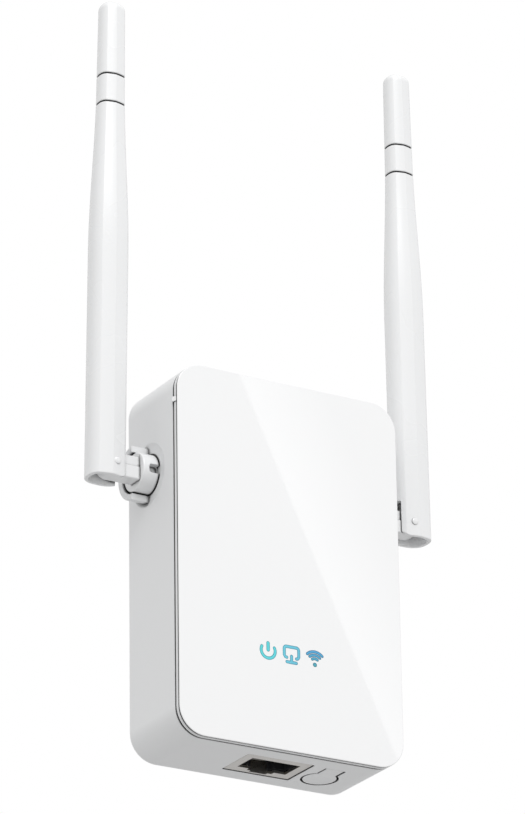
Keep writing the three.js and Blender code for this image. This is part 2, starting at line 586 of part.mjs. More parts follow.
for (const [name, side] of [["left", -1], ["right", 1]]) {
  piece(`plug_blade_${name}`, blade((side * BLADE.pitch) / 2), NICKEL);
  piece(`mains_contact_${name}`, mainsContact(side), BRASS);
}
piece("blade_carrier", bladeCarrier(), SATIN_WHITE);

piece("power_board", powerBoard(), BOARD_GREEN);
piece("transformer_core", transformerCore(-9, MID_Z - 12), FERRITE);
piece("transformer_winding", transformerWinding(-9, MID_Z - 12), AMBER);
piece("bulk_capacitor_1", capacitor(5.2, MID_Z - 21, 4, 12), DARK_PLASTIC);
piece("bulk_capacitor_2", capacitor(14.6, MID_Z - 21, 4, 12), DARK_PLASTIC);
piece("fuse_resistor", rod("x", [onPowerBoard - 2.2, MID_Z + 25], 1.7, -5, 5, 20), AMBER);
const rectifier = box([6, 11], [onPowerBoard - 1.7, onPowerBoard], [MID_Z - 3, MID_Z + 1.2]);
piece("bridge_rectifier", rectifier, DARK_PLASTIC);
const header = box([-20, -17.4], [BOARD.back + GAP, onPowerBoard], [MID_Z + 2, MID_Z + 7]);
piece("power_header", header, DARK_PLASTIC);

antennaSide("left", -1);
antennaSide("right", 1);

export default extender;
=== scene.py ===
"""Looks of a plug-in wifi range extender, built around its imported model.

Every length in a class below is in millimetres unless its name ends in _m. The shells that show are
built here as fine meshes and stand in for the plain nodes; the rest keep their node and get a finish.
"""

import json
import logging
import math
from collections.abc import Callable, Iterable, Sequence
from dataclasses import dataclass, field
from enum import Enum

import bmesh
import bpy
from mathutils import Matrix, Vector


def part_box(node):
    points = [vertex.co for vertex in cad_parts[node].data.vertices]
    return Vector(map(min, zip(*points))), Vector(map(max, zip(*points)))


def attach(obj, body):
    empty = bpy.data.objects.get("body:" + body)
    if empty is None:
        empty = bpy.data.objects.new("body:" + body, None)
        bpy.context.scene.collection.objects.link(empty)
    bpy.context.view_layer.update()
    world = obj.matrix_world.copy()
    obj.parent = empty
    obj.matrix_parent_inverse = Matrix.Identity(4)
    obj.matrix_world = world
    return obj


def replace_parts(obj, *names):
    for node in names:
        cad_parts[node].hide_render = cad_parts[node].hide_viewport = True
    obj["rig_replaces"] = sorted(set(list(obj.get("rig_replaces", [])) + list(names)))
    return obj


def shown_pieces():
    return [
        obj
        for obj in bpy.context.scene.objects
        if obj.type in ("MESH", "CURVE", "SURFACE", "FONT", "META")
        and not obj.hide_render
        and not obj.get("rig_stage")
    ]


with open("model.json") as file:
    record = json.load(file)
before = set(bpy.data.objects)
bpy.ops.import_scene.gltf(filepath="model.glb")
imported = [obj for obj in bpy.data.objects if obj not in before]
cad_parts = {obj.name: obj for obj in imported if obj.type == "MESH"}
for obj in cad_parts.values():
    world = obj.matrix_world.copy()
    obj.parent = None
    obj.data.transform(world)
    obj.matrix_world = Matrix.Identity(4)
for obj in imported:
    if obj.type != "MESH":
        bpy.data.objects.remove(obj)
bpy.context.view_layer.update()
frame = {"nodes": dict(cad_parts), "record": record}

LOG = logging.getLogger("extender")
MM = 0.001
SHARP_ANGLE = math.radians(28)
MERGE_M = 2e-7
DEGENERATE_M = 1e-7
NO_LENGTH = 1e-9
NO_INSET = 1e-6
# Near-black colour painted into gaps, slots and grooves as shade.
PAINTED_GAP_SHADE = (0.012, 0.012, 0.013, 1.0)
ZONE = frame["record"]["type"]

Point = tuple[float, float]
Loop = list[Vector]
Colour = tuple[float, float, float]


class Slot(Enum):
    """The record's material slots."""

    HOUSING = "housing_white"
    PANEL = "panel_gloss"
    ANTENNA = "antenna_white"
    CLEAR = "clear_plastic"
    BOARD = "board_green"
    BLACK = "black_plastic"
    CABLE = "cable_grey"
    STEEL = "steel"
    NICKEL = "nickel"
    BRASS = "brass"
    TAPE = "amber_tape"
    FERRITE = "ferrite"


class Side(Enum):
    """Which side of the housing an antenna is on."""

    LEFT = -1
    RIGHT = 1

    @property
    def word(self) -> str:
        """The side as it stands in node and body names."""
        return self.name.lower()


class Axis(Enum):
    """The direction that an outline is drawn out along, with the two axes that it is drawn in."""

    X = (1, 2, 0)
    Y = (0, 2, 1)
    Z = (0, 1, 2)

    def place(self, point: Point, depth: float) -> Vector:
        """Put an outline point at a depth along this axis.

        Args:
            point: the two coordinates of the outline point.
            depth: how far along the axis.

        Returns:
            The point in three dimensions.
        """
        first, second, along = self.value
        result = Vector((0.0, 0.0, 0.0))
        result[first], result[second], result[along] = point[0], point[1], depth
        return result


# ---- outlines and meshes -------------------------------------------------------------------------


def arc(centre: Point, radius: float, start: float, end: float, steps: int) -> list[Point]:
    """Points on an arc.

    Args:
        centre: the arc's centre.
        radius: its radius.
        start: first angle in degrees.
        end: last angle in degrees.
        steps: number of steps between the ends.

    Returns:
        The points, both ends included.
    """
    angles = [math.radians(start + (end - start) * i / steps) for i in range(steps + 1)]
    return [(centre[0] + radius * math.cos(a), centre[1] + radius * math.sin(a)) for a in angles]


def rounded_rect(width: float, height: float, radius: float, steps: int = 16) -> list[Point]:
    """A rectangle's outline with round corners, anticlockwise about its centre.

    Args:
        width: size along the first axis.
        height: size along the second axis.
        radius: corner radius.
        steps: steps in each corner.

    Returns:
        The outline's points.
    """
    x, y = width / 2 - radius, height / 2 - radius
    corners = [((x, y), 0), ((-x, y), 90), ((-x, -y), 180), ((x, -y), 270)]
    return [p for centre, turn in corners for p in arc(centre, radius, turn, turn + 90, steps)]


def inset(points: Sequence[Point], amount: float) -> list[Point]:
    """Move an anticlockwise outline inwards.

    Args:
        points: the outline.
        amount: how far in.

    Returns:
        The smaller outline, with as many points.
    """
    moved = []
    for i, here in enumerate(points):
        before = Vector(here) - Vector(points[i - 1])
        after = Vector(points[(i + 1) % len(points)]) - Vector(here)
        normals = [Vector((-d.y, d.x)).normalized() for d in (before, after) if d.length > NO_LENGTH]
        middle = sum(normals, Vector((0.0, 0.0))).normalized()
        stretch = max(middle.dot(normals[0]), 0.35)
        moved.append(tuple(Vector(here) + middle * (amount / stretch)))
    return moved


def edge_steps(radius: float, steps: int = 4) -> list[Point]:
    """A quarter round for the edge of a drawn-out piece.

    Args:
        radius: the edge's radius.
        steps: steps in the round.

    Returns:
        Pairs of how far in and how far from the end, from the end face outwards.
    """
    if radius <= 0:
        return [(0.0, 0.0)]
    turns = [math.pi / 2 * i / steps for i in range(steps + 1)]
    return [(radius * (1 - math.sin(t)), radius * (1 - math.cos(t))) for t in turns]


def mesh_from_loops(name: str, loops: Sequence[Loop], creases: Iterable[int] = ()) -> bpy.types.Object:
    """Skin a stack of equal loops and close both ends.

    Args:
        name: the new object's name.
        loops: the loops in millimetres, all with the same number of points.
        creases: columns of points whose edges stay crisp.

    Returns:
        A closed mesh object in metres.
    """
    shape = bmesh.new()
    rows = [[shape.verts.new(p * MM) for p in loop] for loop in loops]
    count = len(rows[0])
    for below, above in zip(rows, rows[1:]):
        for i in range(count):
            j = (i + 1) % count
            shape.faces.new((below[i], below[j], above[j], above[i]))
    shape.faces.new(rows[0][::-1])
    shape.faces.new(rows[-1])
    for column in creases:
        for below, above in zip(rows, rows[1:]):
            edge = shape.edges.get((below[column], above[column]))
            edge.smooth = False
    bmesh.ops.recalc_face_normals(shape, faces=shape.faces)
    if shape.calc_volume(signed=True) < 0:
        bmesh.ops.reverse_faces(shape, faces=shape.faces)
    return object_from_bmesh(name, shape)


def object_from_bmesh(name: str, shape: bmesh.types.BMesh) -> bpy.types.Object:
    """Turn a bmesh into a linked object and free it.

    Args:
        name: the new object's name.
        shape: the bmesh, in metres.

    Returns:
        The object.
    """
    mesh = bpy.data.meshes.new(name)
    shape.to_mesh(mesh)
    shape.free()
    made = bpy.data.objects.new(name, mesh)
    bpy.context.scene.collection.objects.link(made)
    return made


@dataclass(frozen=True)
class Prism:
    """An outline drawn out along an axis, with round edges at its two ends."""

    outline: Sequence[Point]
    axis: Axis
    start: float
    end: float
    start_round: float = 0.0
    end_round: float = 0.0

    def build(self, name: str) -> bpy.types.Object:
        """Make the closed mesh.

        Args:
            name: the new object's name.

        Returns:
            The mesh object.
        """
        near = [(i, self.start + d) for i, d in edge_steps(self.start_round)]
        far = [(i, self.end - d) for i, d in reversed(edge_steps(self.end_round))]
        loops = []
        for less, depth in near + far:
            outline = inset(self.outline, less) if less > NO_INSET else self.outline
            loops.append([self.axis.place(point, depth) for point in outline])
        return mesh_from_loops(name, loops)


def turned(name: str, profile: Sequence[Point], centre: Point, sides: int = 64) -> bpy.types.Object:
    """A piece turned about an axis along X.

    Args:
        name: the new object's name.
        profile: pairs of place along X and radius.
        centre: the axis's place in Y and Z.
        sides: steps round the axis.

    Returns:
        A closed mesh object.
    """
    turns = [2 * math.pi * i / sides for i in range(sides)]
    loops = [
        [Vector((x, centre[0] + r * math.cos(t), centre[1] + r * math.sin(t))) for t in turns]
        for x, r in profile
    ]
    return mesh_from_loops(name, loops)


def combine(target: bpy.types.Object, other: bpy.types.Object, how: str) -> bpy.types.Object:
    """Join another solid to a target, or cut it away, and drop the other.

    Args:
        target: the solid that is kept.
        other: the solid that is used up.
        how: UNION or DIFFERENCE.

    Returns:
        The target, with its new mesh.
    """
    change = target.modifiers.new("combine", "BOOLEAN")
    change.operation, change.solver, change.object = how, "EXACT", other
    bpy.context.view_layer.update()
    evaluated = target.evaluated_get(bpy.context.evaluated_depsgraph_get())
    fresh = bpy.data.meshes.new_from_object(evaluated)
    target.modifiers.clear()
    if not fresh.polygons:
        raise ValueError(f"{how} of {other.name} left nothing of {target.name}")
    old = target.data
    target.data = fresh
    fresh.name = target.name
    bpy.data.meshes.remove(old)
    used = other.data
    bpy.data.objects.remove(other)
    bpy.data.meshes.remove(used)
    return target


def cut(target: bpy.types.Object, *others: bpy.types.Object) -> bpy.types.Object:
    """Cut several solids out of a target.

    Args:
        target: the solid that is kept.
        *others: the solids that are cut away and used up.

    Returns:
        The target.
    """
    for other in others:
        combine(target, other, "DIFFERENCE")
    return target


def join(target: bpy.types.Object, *others: bpy.types.Object) -> bpy.types.Object:
    """Join several solids to a target.

    Args:
        target: the solid that is kept.
        *others: the solids that are joined to it and used up.

    Returns:
        The target.
    """
    for other in others:
        combine(target, other, "UNION")
    return target


def tidy_surface(made: bpy.types.Object) -> None:
    """Merge stray points, shade smooth, keep real edges crisp and even out the shading.

    Args:
        made: the object to finish.
    """
    shape = bmesh.new()
    shape.from_mesh(made.data)
    bmesh.ops.remove_doubles(shape, verts=shape.verts, dist=MERGE_M)
    bmesh.ops.dissolve_degenerate(shape, edges=shape.edges, dist=DEGENERATE_M)
    for face in shape.faces:
        face.smooth = True
    for edge in shape.edges:
        if len(edge.link_faces) == 2 and edge.calc_face_angle(0.0) > SHARP_ANGLE:
            edge.smooth = False
    shape.to_mesh(made.data)
    shape.free()
    even = made.modifiers.new("even_shading", "WEIGHTED_NORMAL")
    even.keep_sharp = True


def mirror_x(made: bpy.types.Object) -> None:
    """Mirror a mesh in the plane between left and right, and turn its faces out again."""
    made.data.transform(Matrix.Scale(-1, 4, Vector((1, 0, 0))))
    made.data.flip_normals()


# ---- shader graphs -------------------------------------------------------------------------------


class Graph:
    """A node tree being filled."""

    def __init__(self, tree: bpy.types.NodeTree) -> None:
        """Start from an empty tree.

        Args:
            tree: a material's or a group's node tree.
        """
        self.tree = tree
        tree.nodes.clear()

    def node(self, kind: str, inputs: dict | None = None, **settings: object) -> bpy.types.Node:
        """Add a node.

        Args:
            kind: the node's type name.
            inputs: socket names or numbers with a value, or with a socket to link from.
            **settings: the node's own properties.

        Returns:
            The node.
        """
        made = self.tree.nodes.new(kind)
        for name, value in settings.items():
            setattr(made, name, value)
        for name, value in (inputs or {}).items():
            if isinstance(value, bpy.types.NodeSocket):
                self.tree.links.new(value, made.inputs[name])
            else:
                made.inputs[name].default_value = value
        return made

    def maths(
        self, how: str, first: object, second: object = 0.5, clamp: bool = False
    ) -> bpy.types.NodeSocket:
        """Add a Math node and give its result."""
        inputs = {0: first, 1: second}
        return self.node("ShaderNodeMath", inputs, operation=how, use_clamp=clamp).outputs[0]

    def mix(self, share: object, first: object, second: object) -> bpy.types.NodeSocket:
        """Add a colour mix and give its result.

        Args:
            share: how much of the second colour shows, from 0 to 1.
            first: the first colour, or a socket.
            second: the second colour, or a socket.

        Returns:
            The mixed colour's socket.
        """
        made = self.node("ShaderNodeMix", data_type="RGBA")
        for number, value in ((0, share), (6, first), (7, second)):
            if isinstance(value, bpy.types.NodeSocket):
                self.tree.links.new(value, made.inputs[number])
            else:
                made.inputs[number].default_value = value
        return made.outputs[2]

    def ramp(self, source: bpy.types.NodeSocket, low: float, high: float) -> bpy.types.NodeSocket:
        """Stretch a value so that low gives 0 and high gives 1."""
        return self.node("ShaderNodeMapRange", {0: source, 1: low, 2: high}).outputs[0]


def new_group(
    name: str, inputs: dict[str, tuple[str, object]], outputs: dict[str, str]
) -> bpy.types.NodeTree:
    """Make an empty shader node group with its sockets.

    Args:
        name: the group's name.
        inputs: socket names with their kind and starting value.
        outputs: socket names with their kind.

    Returns:
        The group's tree.
    """
    tree = bpy.data.node_groups.new(name, "ShaderNodeTree")
    for label, (kind, value) in inputs.items():
        socket = tree.interface.new_socket(label, in_out="INPUT", socket_type=f"NodeSocket{kind}")
        socket.default_value = value
    for label, kind in outputs.items():
        tree.interface.new_socket(label, in_out="OUTPUT", socket_type=f"NodeSocket{kind}")
    return tree


def once(build: Callable[[], bpy.types.NodeTree]) -> Callable[[], bpy.types.NodeTree]:
    """Keep what a group builder made, so that each group exists once.

    Args:
        build: the function that builds the group.

    Returns:
        A function that gives the one group.
    """
    made: list[bpy.types.NodeTree] = []

    def give() -> bpy.types.NodeTree:
        """Give the group, building it the first time.

        Returns:
            The group's tree.
        """
        if not made:
            made.append(build())
        return made[0]

    return give


@once
def moulded_grain() -> bpy.types.NodeTree:
    """Fine spark-eroded grain of a moulding tool: a height and a slow mask of how polished it is.

    Returns:
        The group's tree.
    """
    tree = new_group("moulded_grain", {"Scale": ("Float", 2500.0)}, {"Height": "Float", "Polish": "Float"})
    graph = Graph(tree)
    given = graph.node("NodeGroupInput").outputs["Scale"]
    place = graph.node("ShaderNodeTexCoord").outputs["Object"]
    fine = graph.node("ShaderNodeTexNoise", {"Vector": place, "Scale": given, "Detail": 3.0}).outputs[0]
    pits = graph.node("ShaderNodeTexVoronoi", {"Vector": place, "Scale": given}).outputs["Distance"]
    height = graph.maths("ADD", graph.maths("MULTIPLY", fine, 0.65), graph.maths("MULTIPLY", pits, 0.35))
    slow = graph.node("ShaderNodeTexNoise", {"Vector": place, "Scale": 60.0, "Detail": 2.0}).outputs[0]
    graph.node("NodeGroupOutput", {"Height": height, "Polish": slow})
    return tree


@once
def crevice_shade() -> bpy.types.NodeTree:
    """A painted-shade mask from ambient occlusion: 1 on open surfaces, falling towards 0 down in gaps,
    slots and grooves, where the colour is darkened.

    Returns:
        The group's tree.
    """
    tree = new_group("crevice_shade", {"Reach": ("Float", 0.001)}, {"Mask": "Float"})
    graph = Graph(tree)
    reach = graph.node("NodeGroupInput").outputs["Reach"]
    openness = graph.node("ShaderNodeAmbientOcclusion", {"Distance": reach}, samples=8).outputs["AO"]
    fully_shut, fully_open = 0.42, 0.88
    graph.node("NodeGroupOutput", {"Mask": graph.ramp(openness, fully_shut, fully_open)})
    return tree


@once
def worn_edges() -> bpy.types.NodeTree:
    """Rounded normals at crisp edges, and a broken mask of where hands have polished them.

    Returns:
        The group's tree.
    """
    tree = new_group("worn_edges", {"Radius": ("Float", 0.0002)}, {"Normal": "Vector", "Mask": "Float"})
    graph = Graph(tree)
    radius = graph.node("NodeGroupInput").outputs["Radius"]
    soft = graph.node("ShaderNodeBevel", {"Radius": radius}, samples=4).outputs[0]
    true_normal = graph.node("ShaderNodeNewGeometry").outputs["Normal"]
    both = {0: soft, 1: true_normal}
    facing = graph.node("ShaderNodeVectorMath", both, operation="DOT_PRODUCT").outputs["Value"]
    edge = graph.ramp(graph.maths("SUBTRACT", 1.0, facing), 0.02, 0.22)
    place = graph.node("ShaderNodeTexCoord").outputs["Object"]
    broken = graph.node("ShaderNodeTexNoise", {"Vector": place, "Scale": 900.0, "Detail": 4.0}).outputs[0]
    mask = graph.maths("MULTIPLY", edge, graph.ramp(broken, 0.35, 0.7), clamp=True)
    graph.node("NodeGroupOutput", {"Normal": soft, "Mask": mask})
    return tree


@once
def colour_drift() -> bpy.types.NodeTree:
    """Slow, slight change of shade over a moulding, with a fine speckle of pigment.

    Returns:
        The group's tree.
    """
    inputs = {"Colour": ("Color", (0.8, 0.8, 0.8, 1)), "Amount": ("Float", 0.04), "Scale": ("Float", 35.0)}
    tree = new_group("colour_drift", inputs, {"Colour": "Color"})
    graph = Graph(tree)
    given = graph.node("NodeGroupInput")
    place = graph.node("ShaderNodeTexCoord").outputs["Object"]
    scale = given.outputs["Scale"]
    slow = graph.node("ShaderNodeTexNoise", {"Vector": place, "Scale": scale, "Detail": 4.0}).outputs[0]
    fine = graph.node("ShaderNodeTexNoise", {"Vector": place, "Scale": 4200.0}).outputs[0]
    both = graph.maths("ADD", graph.maths("MULTIPLY", slow, 0.8), graph.maths("MULTIPLY", fine, 0.2))
    swing = graph.maths("MULTIPLY", graph.maths("SUBTRACT", both, 0.5), given.outputs["Amount"])
    value = graph.maths("ADD", 1.0, swing)
    colour = given.outputs["Colour"]
    shade = graph.node("ShaderNodeHueSaturation", {"Color": colour, "Value": value}).outputs[0]
    graph.node("NodeGroupOutput", {"Colour": shade})
    return tree


@once
def drawn_lines() -> bpy.types.NodeTree:
    """Long fine lines left on metal by rolling and drawing, along a chosen stretch of the surface.

    Returns:
        The group's tree.
    """
    tree = new_group("drawn_lines", {"Stretch": ("Vector", (1.0, 1.0, 1.0))}, {"Height": "Float"})
    graph = Graph(tree)
    given = graph.node("NodeGroupInput").outputs["Stretch"]
    place = graph.node("ShaderNodeTexCoord").outputs["Object"]
    spread = graph.node("ShaderNodeVectorMath", {0: place, 1: given}, operation="MULTIPLY").outputs[0]
    lines = graph.node("ShaderNodeTexNoise", {"Vector": spread, "Scale": 3000.0, "Detail": 5.0}).outputs[0]
    graph.node("NodeGroupOutput", {"Height": lines})
    return tree


def rgba(colour: Colour) -> tuple[float, float, float, float]:
    """A colour with full alpha."""
    return (*colour, 1.0)


class Material:
    """A new material with a Principled shader that finishes fill in."""

    def __init__(self, name: str) -> None:
        """Make the material with its shader and output.

        Args:
            name: the material's name.
        """
        self.data = bpy.data.materials.new(name)
        self.data.use_nodes = True
        self.graph = Graph(self.data.node_tree)
        self.shader = self.graph.node("ShaderNodeBsdfPrincipled")
        self.graph.node("ShaderNodeOutputMaterial", {"Surface": self.shader.outputs[0]})

    def group(self, tree: bpy.types.NodeTree, inputs: dict | None = None) -> bpy.types.Node:
        """Place a shared group in the material.

        Args:
            tree: the group's tree.
            inputs: the group's sockets with a value, or with a socket to link from.

        Returns:
            The group's node.
        """
        made = self.graph.node("ShaderNodeGroup", node_tree=tree)
        for name, value in (inputs or {}).items():
            if isinstance(value, bpy.types.NodeSocket):
                self.data.node_tree.links.new(value, made.inputs[name])
            else:
                made.inputs[name].default_value = value
        return made

    def set(self, **values: object) -> None:
        """Set or link the shader's sockets.

        Args:
            **values: each socket's name, with underscores for spaces, and its value or source.
        """
        for name, value in values.items():
            socket = self.shader.inputs[name.replace("_", " ")]
            if isinstance(value, bpy.types.NodeSocket):
                self.data.node_tree.links.new(value, socket)
            else:
                socket.default_value = value

    def bump(self, height: bpy.types.NodeSocket, depth: float, normal: bpy.types.NodeSocket) -> None:
        """Raise the surface by a height map over a given normal.

        Args:
            height: the map.
            depth: the bump's depth in metres.
            normal: the normal that it starts from.
        """
        inputs = {"Strength": 1.0, "Distance": depth, "Height": height, "Normal": normal}
        made = self.graph.node("ShaderNodeBump", inputs)
        self.set(Normal=made.outputs[0])


@dataclass(frozen=True)
class Plastic:
    """A moulded plastic: grain, slight drift of shade, edges polished by handling, and painted shade in its
    gaps and grooves.
    """

    name: str
    colour: Colour
    roughness: float
    grain: float = 2500.0
    depth: float = 4e-6
    drift: float = 0.03
    polish: float = 0.12
    coat: float = 0.0
    coat_roughness: float = 0.05
    edge: float = 0.00015
    translucency: float = 0.0
    # crevice: how far, in metres, the painted shade in gaps and grooves reaches; 0 paints none.
    crevice: float = 0.0

    def material(self) -> bpy.types.Material:
        """Build the material.

        Returns:
            The material.
        """
        made = Material(self.name)
        grain = made.group(moulded_grain(), {"Scale": self.grain})
        edges = made.group(worn_edges(), {"Radius": self.edge})
        drift = made.group(colour_drift(), {"Colour": rgba(self.colour), "Amount": self.drift})
        bright = tuple(min(1.0, c * 1.04 + 0.01) for c in self.colour)
        wear_and_painted_shade = made.graph.mix(edges.outputs["Mask"], drift.outputs["Colour"], rgba(bright))
        # Painted shade: where crevice is set, the colour is darkened towards near black down in gaps, slots
        # and grooves.
        if self.crevice:
            gaps = made.group(crevice_shade(), {"Reach": self.crevice})
            wear_and_painted_shade = made.graph.mix(gaps.outputs["Mask"], PAINTED_GAP_SHADE, wear_and_painted_shade)
        swing = made.graph.maths("MULTIPLY", grain.outputs["Polish"], self.polish)
        rough = made.graph.maths("SUBTRACT", self.roughness + self.polish / 2, swing)
        rubbed = made.graph.maths("MULTIPLY", edges.outputs["Mask"], self.roughness * 0.35)
        made.set(
            Base_Color=wear_and_painted_shade,
            Roughness=made.graph.maths("SUBTRACT", rough, rubbed, clamp=True),
            Coat_Weight=self.coat,
            Coat_Roughness=self.coat_roughness,
            Subsurface_Weight=self.translucency,
            Subsurface_Radius=(1.0, 0.95, 0.9),
            Subsurface_Scale=0.0006,
        )
        made.bump(grain.outputs["Height"], self.depth, edges.outputs["Normal"])
        return made.data


@dataclass(frozen=True)
class Metal:
    """A plated or drawn metal with fine lines and softly rubbed edges."""

    name: str
    colour: Colour
    roughness: float
    stretch: Colour = (1.0, 0.04, 1.0)
    depth: float = 2e-6
    tarnish: float = 0.2
    edge: float = 0.0001

    def material(self) -> bpy.types.Material:
        """Build the material.

        Returns:
            The material.
        """
        made = Material(self.name)
        lines = made.group(drawn_lines(), {"Stretch": self.stretch})
        edges = made.group(worn_edges(), {"Radius": self.edge})
        tarnish = {"Colour": rgba(self.colour), "Amount": self.tarnish, "Scale": 220.0}
        drift = made.group(colour_drift(), tarnish)
        bright = tuple(min(1.0, c * 1.15) for c in self.colour)
        made.set(
            Base_Color=made.graph.mix(edges.outputs["Mask"], drift.outputs["Colour"], rgba(bright)),
            Metallic=1.0,
            Roughness=made.graph.maths(
                "ADD", made.graph.maths("MULTIPLY", lines.outputs["Height"], 0.16), self.roughness - 0.08
            ),
        )
        made.bump(lines.outputs["Height"], self.depth, edges.outputs["Normal"])
        return made.data


@dataclass(frozen=True)
class CircuitBoard:
    """Green solder mask over copper tracks, with tinned pads."""

    name: str
    mask: Colour = (0.012, 0.11, 0.045)
    track: Colour = (0.03, 0.2, 0.085)
    pad: Colour = (0.55, 0.53, 0.5)

    def material(self) -> bpy.types.Material:
        """Build the material.

        Returns:
            The material.
        """
        made = Material(self.name)
        graph = made.graph
        place = graph.node("ShaderNodeTexCoord").outputs["Object"]
        wave = {"Vector": place, "Scale": 160.0}
        runs = [
            graph.node("ShaderNodeTexWave", wave, bands_direction=way).outputs[1] for way in ("X", "Z")
        ]
        choice = graph.node("ShaderNodeTexVoronoi", {"Vector": place, "Scale": 130.0}, distance="CHEBYCHEV")
        pick = graph.maths("GREATER_THAN", choice.outputs["Distance"], 0.4)
        runs_mixed = graph.mix(pick, runs[0], runs[1])
        lines = graph.ramp(runs_mixed, 0.62, 0.7)
        dots = graph.node("ShaderNodeTexVoronoi", {"Vector": place, "Scale": 420.0, "Randomness": 0.35})
        pads = graph.maths("LESS_THAN", dots.outputs["Distance"], 0.2)
        drift = made.group(colour_drift(), {"Colour": rgba(self.mask), "Amount": 0.3})
        covered = graph.mix(lines, drift.outputs["Colour"], rgba(self.track))
        edges = made.group(worn_edges(), {"Radius": 0.0001})
        made.set(
            Base_Color=graph.mix(pads, covered, rgba(self.pad)),
            Metallic=graph.maths("MULTIPLY", pads, 0.9),
            Roughness=graph.maths("ADD", graph.maths("MULTIPLY", lines, -0.1), 0.38),
        )
        made.bump(lines, 2e-5, edges.outputs["Normal"])
        return made.data


@dataclass(frozen=True)
class ClearPlastic:
    """Frosted clear plastic that carries light from the lamps to the panel."""

    name: str
    colour: Colour = (0.86, 0.95, 0.95)
    roughness: float = 0.32

    def material(self) -> bpy.types.Material:
        """Build the material.

        Returns:
            The material.
        """
        made = Material(self.name)
        grain = made.group(moulded_grain(), {"Scale": 1800.0})
        edges = made.group(worn_edges(), {"Radius": 0.0001})
        made.set(
            Base_Color=made.group(colour_drift(), {"Colour": rgba(self.colour)}).outputs["Colour"],
            Roughness=self.roughness,
            IOR=1.49,
            Transmission_Weight=0.85,
        )
        made.bump(grain.outputs["Height"], 8e-6, edges.outputs["Normal"])
        return made.data


@dataclass(frozen=True)
class LitInk:
    """Tinted ink, lit from behind, that runs from one colour to another across and down the panel."""

    name: str
    start: Colour
    end: Colour
    across: tuple[float, float]
    down: tuple[float, float]
    fall: float = 0.3
    glow: float = 0.25

    def material(self) -> bpy.types.Material:
        """Build the material.

        Returns:
            The material.
        """
        made = Material(self.name)
        graph = made.graph
        place = graph.node("ShaderNodeTexCoord").outputs["Object"]
        parts = graph.node("ShaderNodeSeparateXYZ", {0: place}).outputs
        along = graph.ramp(parts["X"], *self.across)
        height = graph.ramp(parts["Z"], *self.down)
        blend = graph.maths(
            "ADD", graph.maths("MULTIPLY", along, 1 - self.fall), graph.maths("MULTIPLY", height, self.fall)
        )
        pigment = {"Vector": place, "Scale": 1600.0, "Detail": 3.0}
        fine = graph.node("ShaderNodeTexNoise", pigment).outputs[0]
        speckle = graph.maths("MULTIPLY", graph.maths("SUBTRACT", fine, 0.5), 0.25)
        share = graph.maths("ADD", blend, speckle, clamp=True)
        tint = graph.mix(share, rgba(self.start), rgba(self.end))
        made.set(Base_Color=tint, Roughness=0.25, Emission_Color=tint, Emission_Strength=self.glow)
        return made.data


class Palette:
    """Every finish on the extender, each built once."""

    def __init__(self) -> None:
        """Build the materials, one for each slot."""
        finishes = {
            Slot.HOUSING: Plastic(
                "satin_white_shell", (0.83, 0.835, 0.84), 0.42, depth=5e-6, translucency=0.05,
                crevice=0.0011,
            ),
            Slot.PANEL: Plastic(
                "polished_white_panel", (0.94, 0.943, 0.946), 0.2, grain=900.0, depth=4e-7, drift=0.01,
                polish=0.03, coat=1.0, coat_roughness=0.015, crevice=0.0012,
            ),
            Slot.ANTENNA: Plastic(
                "smooth_white_antenna", (0.87, 0.875, 0.88), 0.27, grain=1800.0, depth=1.5e-6, drift=0.02,
                polish=0.08, coat=0.35, coat_roughness=0.12, translucency=0.05, crevice=0.0008,
            ),
            Slot.CLEAR: ClearPlastic("frosted_light_guide"),
            Slot.BOARD: CircuitBoard("solder_mask_board"),
            Slot.BLACK: Plastic("black_moulding", (0.022, 0.023, 0.026), 0.4, depth=8e-6, drift=0.25),
            Slot.CABLE: Plastic("cable_jacket", (0.06, 0.06, 0.064), 0.55, grain=5000.0, drift=0.2),
            Slot.STEEL: Metal("plated_steel", (0.68, 0.662, 0.635), 0.3),
            Slot.NICKEL: Metal(
                "nickel_plate", (0.72, 0.71, 0.69), 0.2, stretch=(1.0, 0.05, 1.0), tarnish=0.1
            ),
            Slot.BRASS: Metal("drawn_brass", (0.78, 0.55, 0.25), 0.24, stretch=(1.0, 1.0, 0.05)),
            Slot.TAPE: Plastic(
                "amber_tape", (0.62, 0.3, 0.03), 0.25, grain=600.0, depth=1.2e-5, drift=0.3, coat=0.5
            ),
            Slot.FERRITE: Plastic(
                "fired_ferrite", (0.045, 0.045, 0.05), 0.7, grain=1200.0, depth=2.5e-5, drift=0.4
            ),
        }
        self.materials = {slot: finish.material() for slot, finish in finishes.items()}

    def dress(self, made: bpy.types.Object, slot: Slot) -> None:
        """Give an object one slot's finish.

        Args:
            made: the object.
            slot: which finish.
        """
        made.data.materials.clear()
        made.data.materials.append(self.materials[slot])

    def dress_node(self, node: str, slot: Slot) -> None:
        """Give a kept node its finish and softly broken edges.

        Args:
            node: the node's name.
            slot: which finish.
        """
        kept = frame["nodes"][node]
        for holder in kept.material_slots:
            holder.material = self.materials[slot]
        if not kept.material_slots:
            kept.data.materials.append(self.materials[slot])
        weld = kept.modifiers.new("weld", "WELD")
        weld.merge_threshold = 1e-6
        flat = kept.modifiers.new("flat", "DECIMATE")
        flat.decimate_type, flat.angle_limit = "DISSOLVE", math.radians(1)
        bevel = kept.modifiers.new("broken_edges", "BEVEL")
        bevel.width, bevel.segments, bevel.limit_method = 6e-5, 2, "ANGLE"
        bevel.angle_limit = math.radians(40)
        kept.modifiers.new("even_shading", "WEIGHTED_NORMAL")


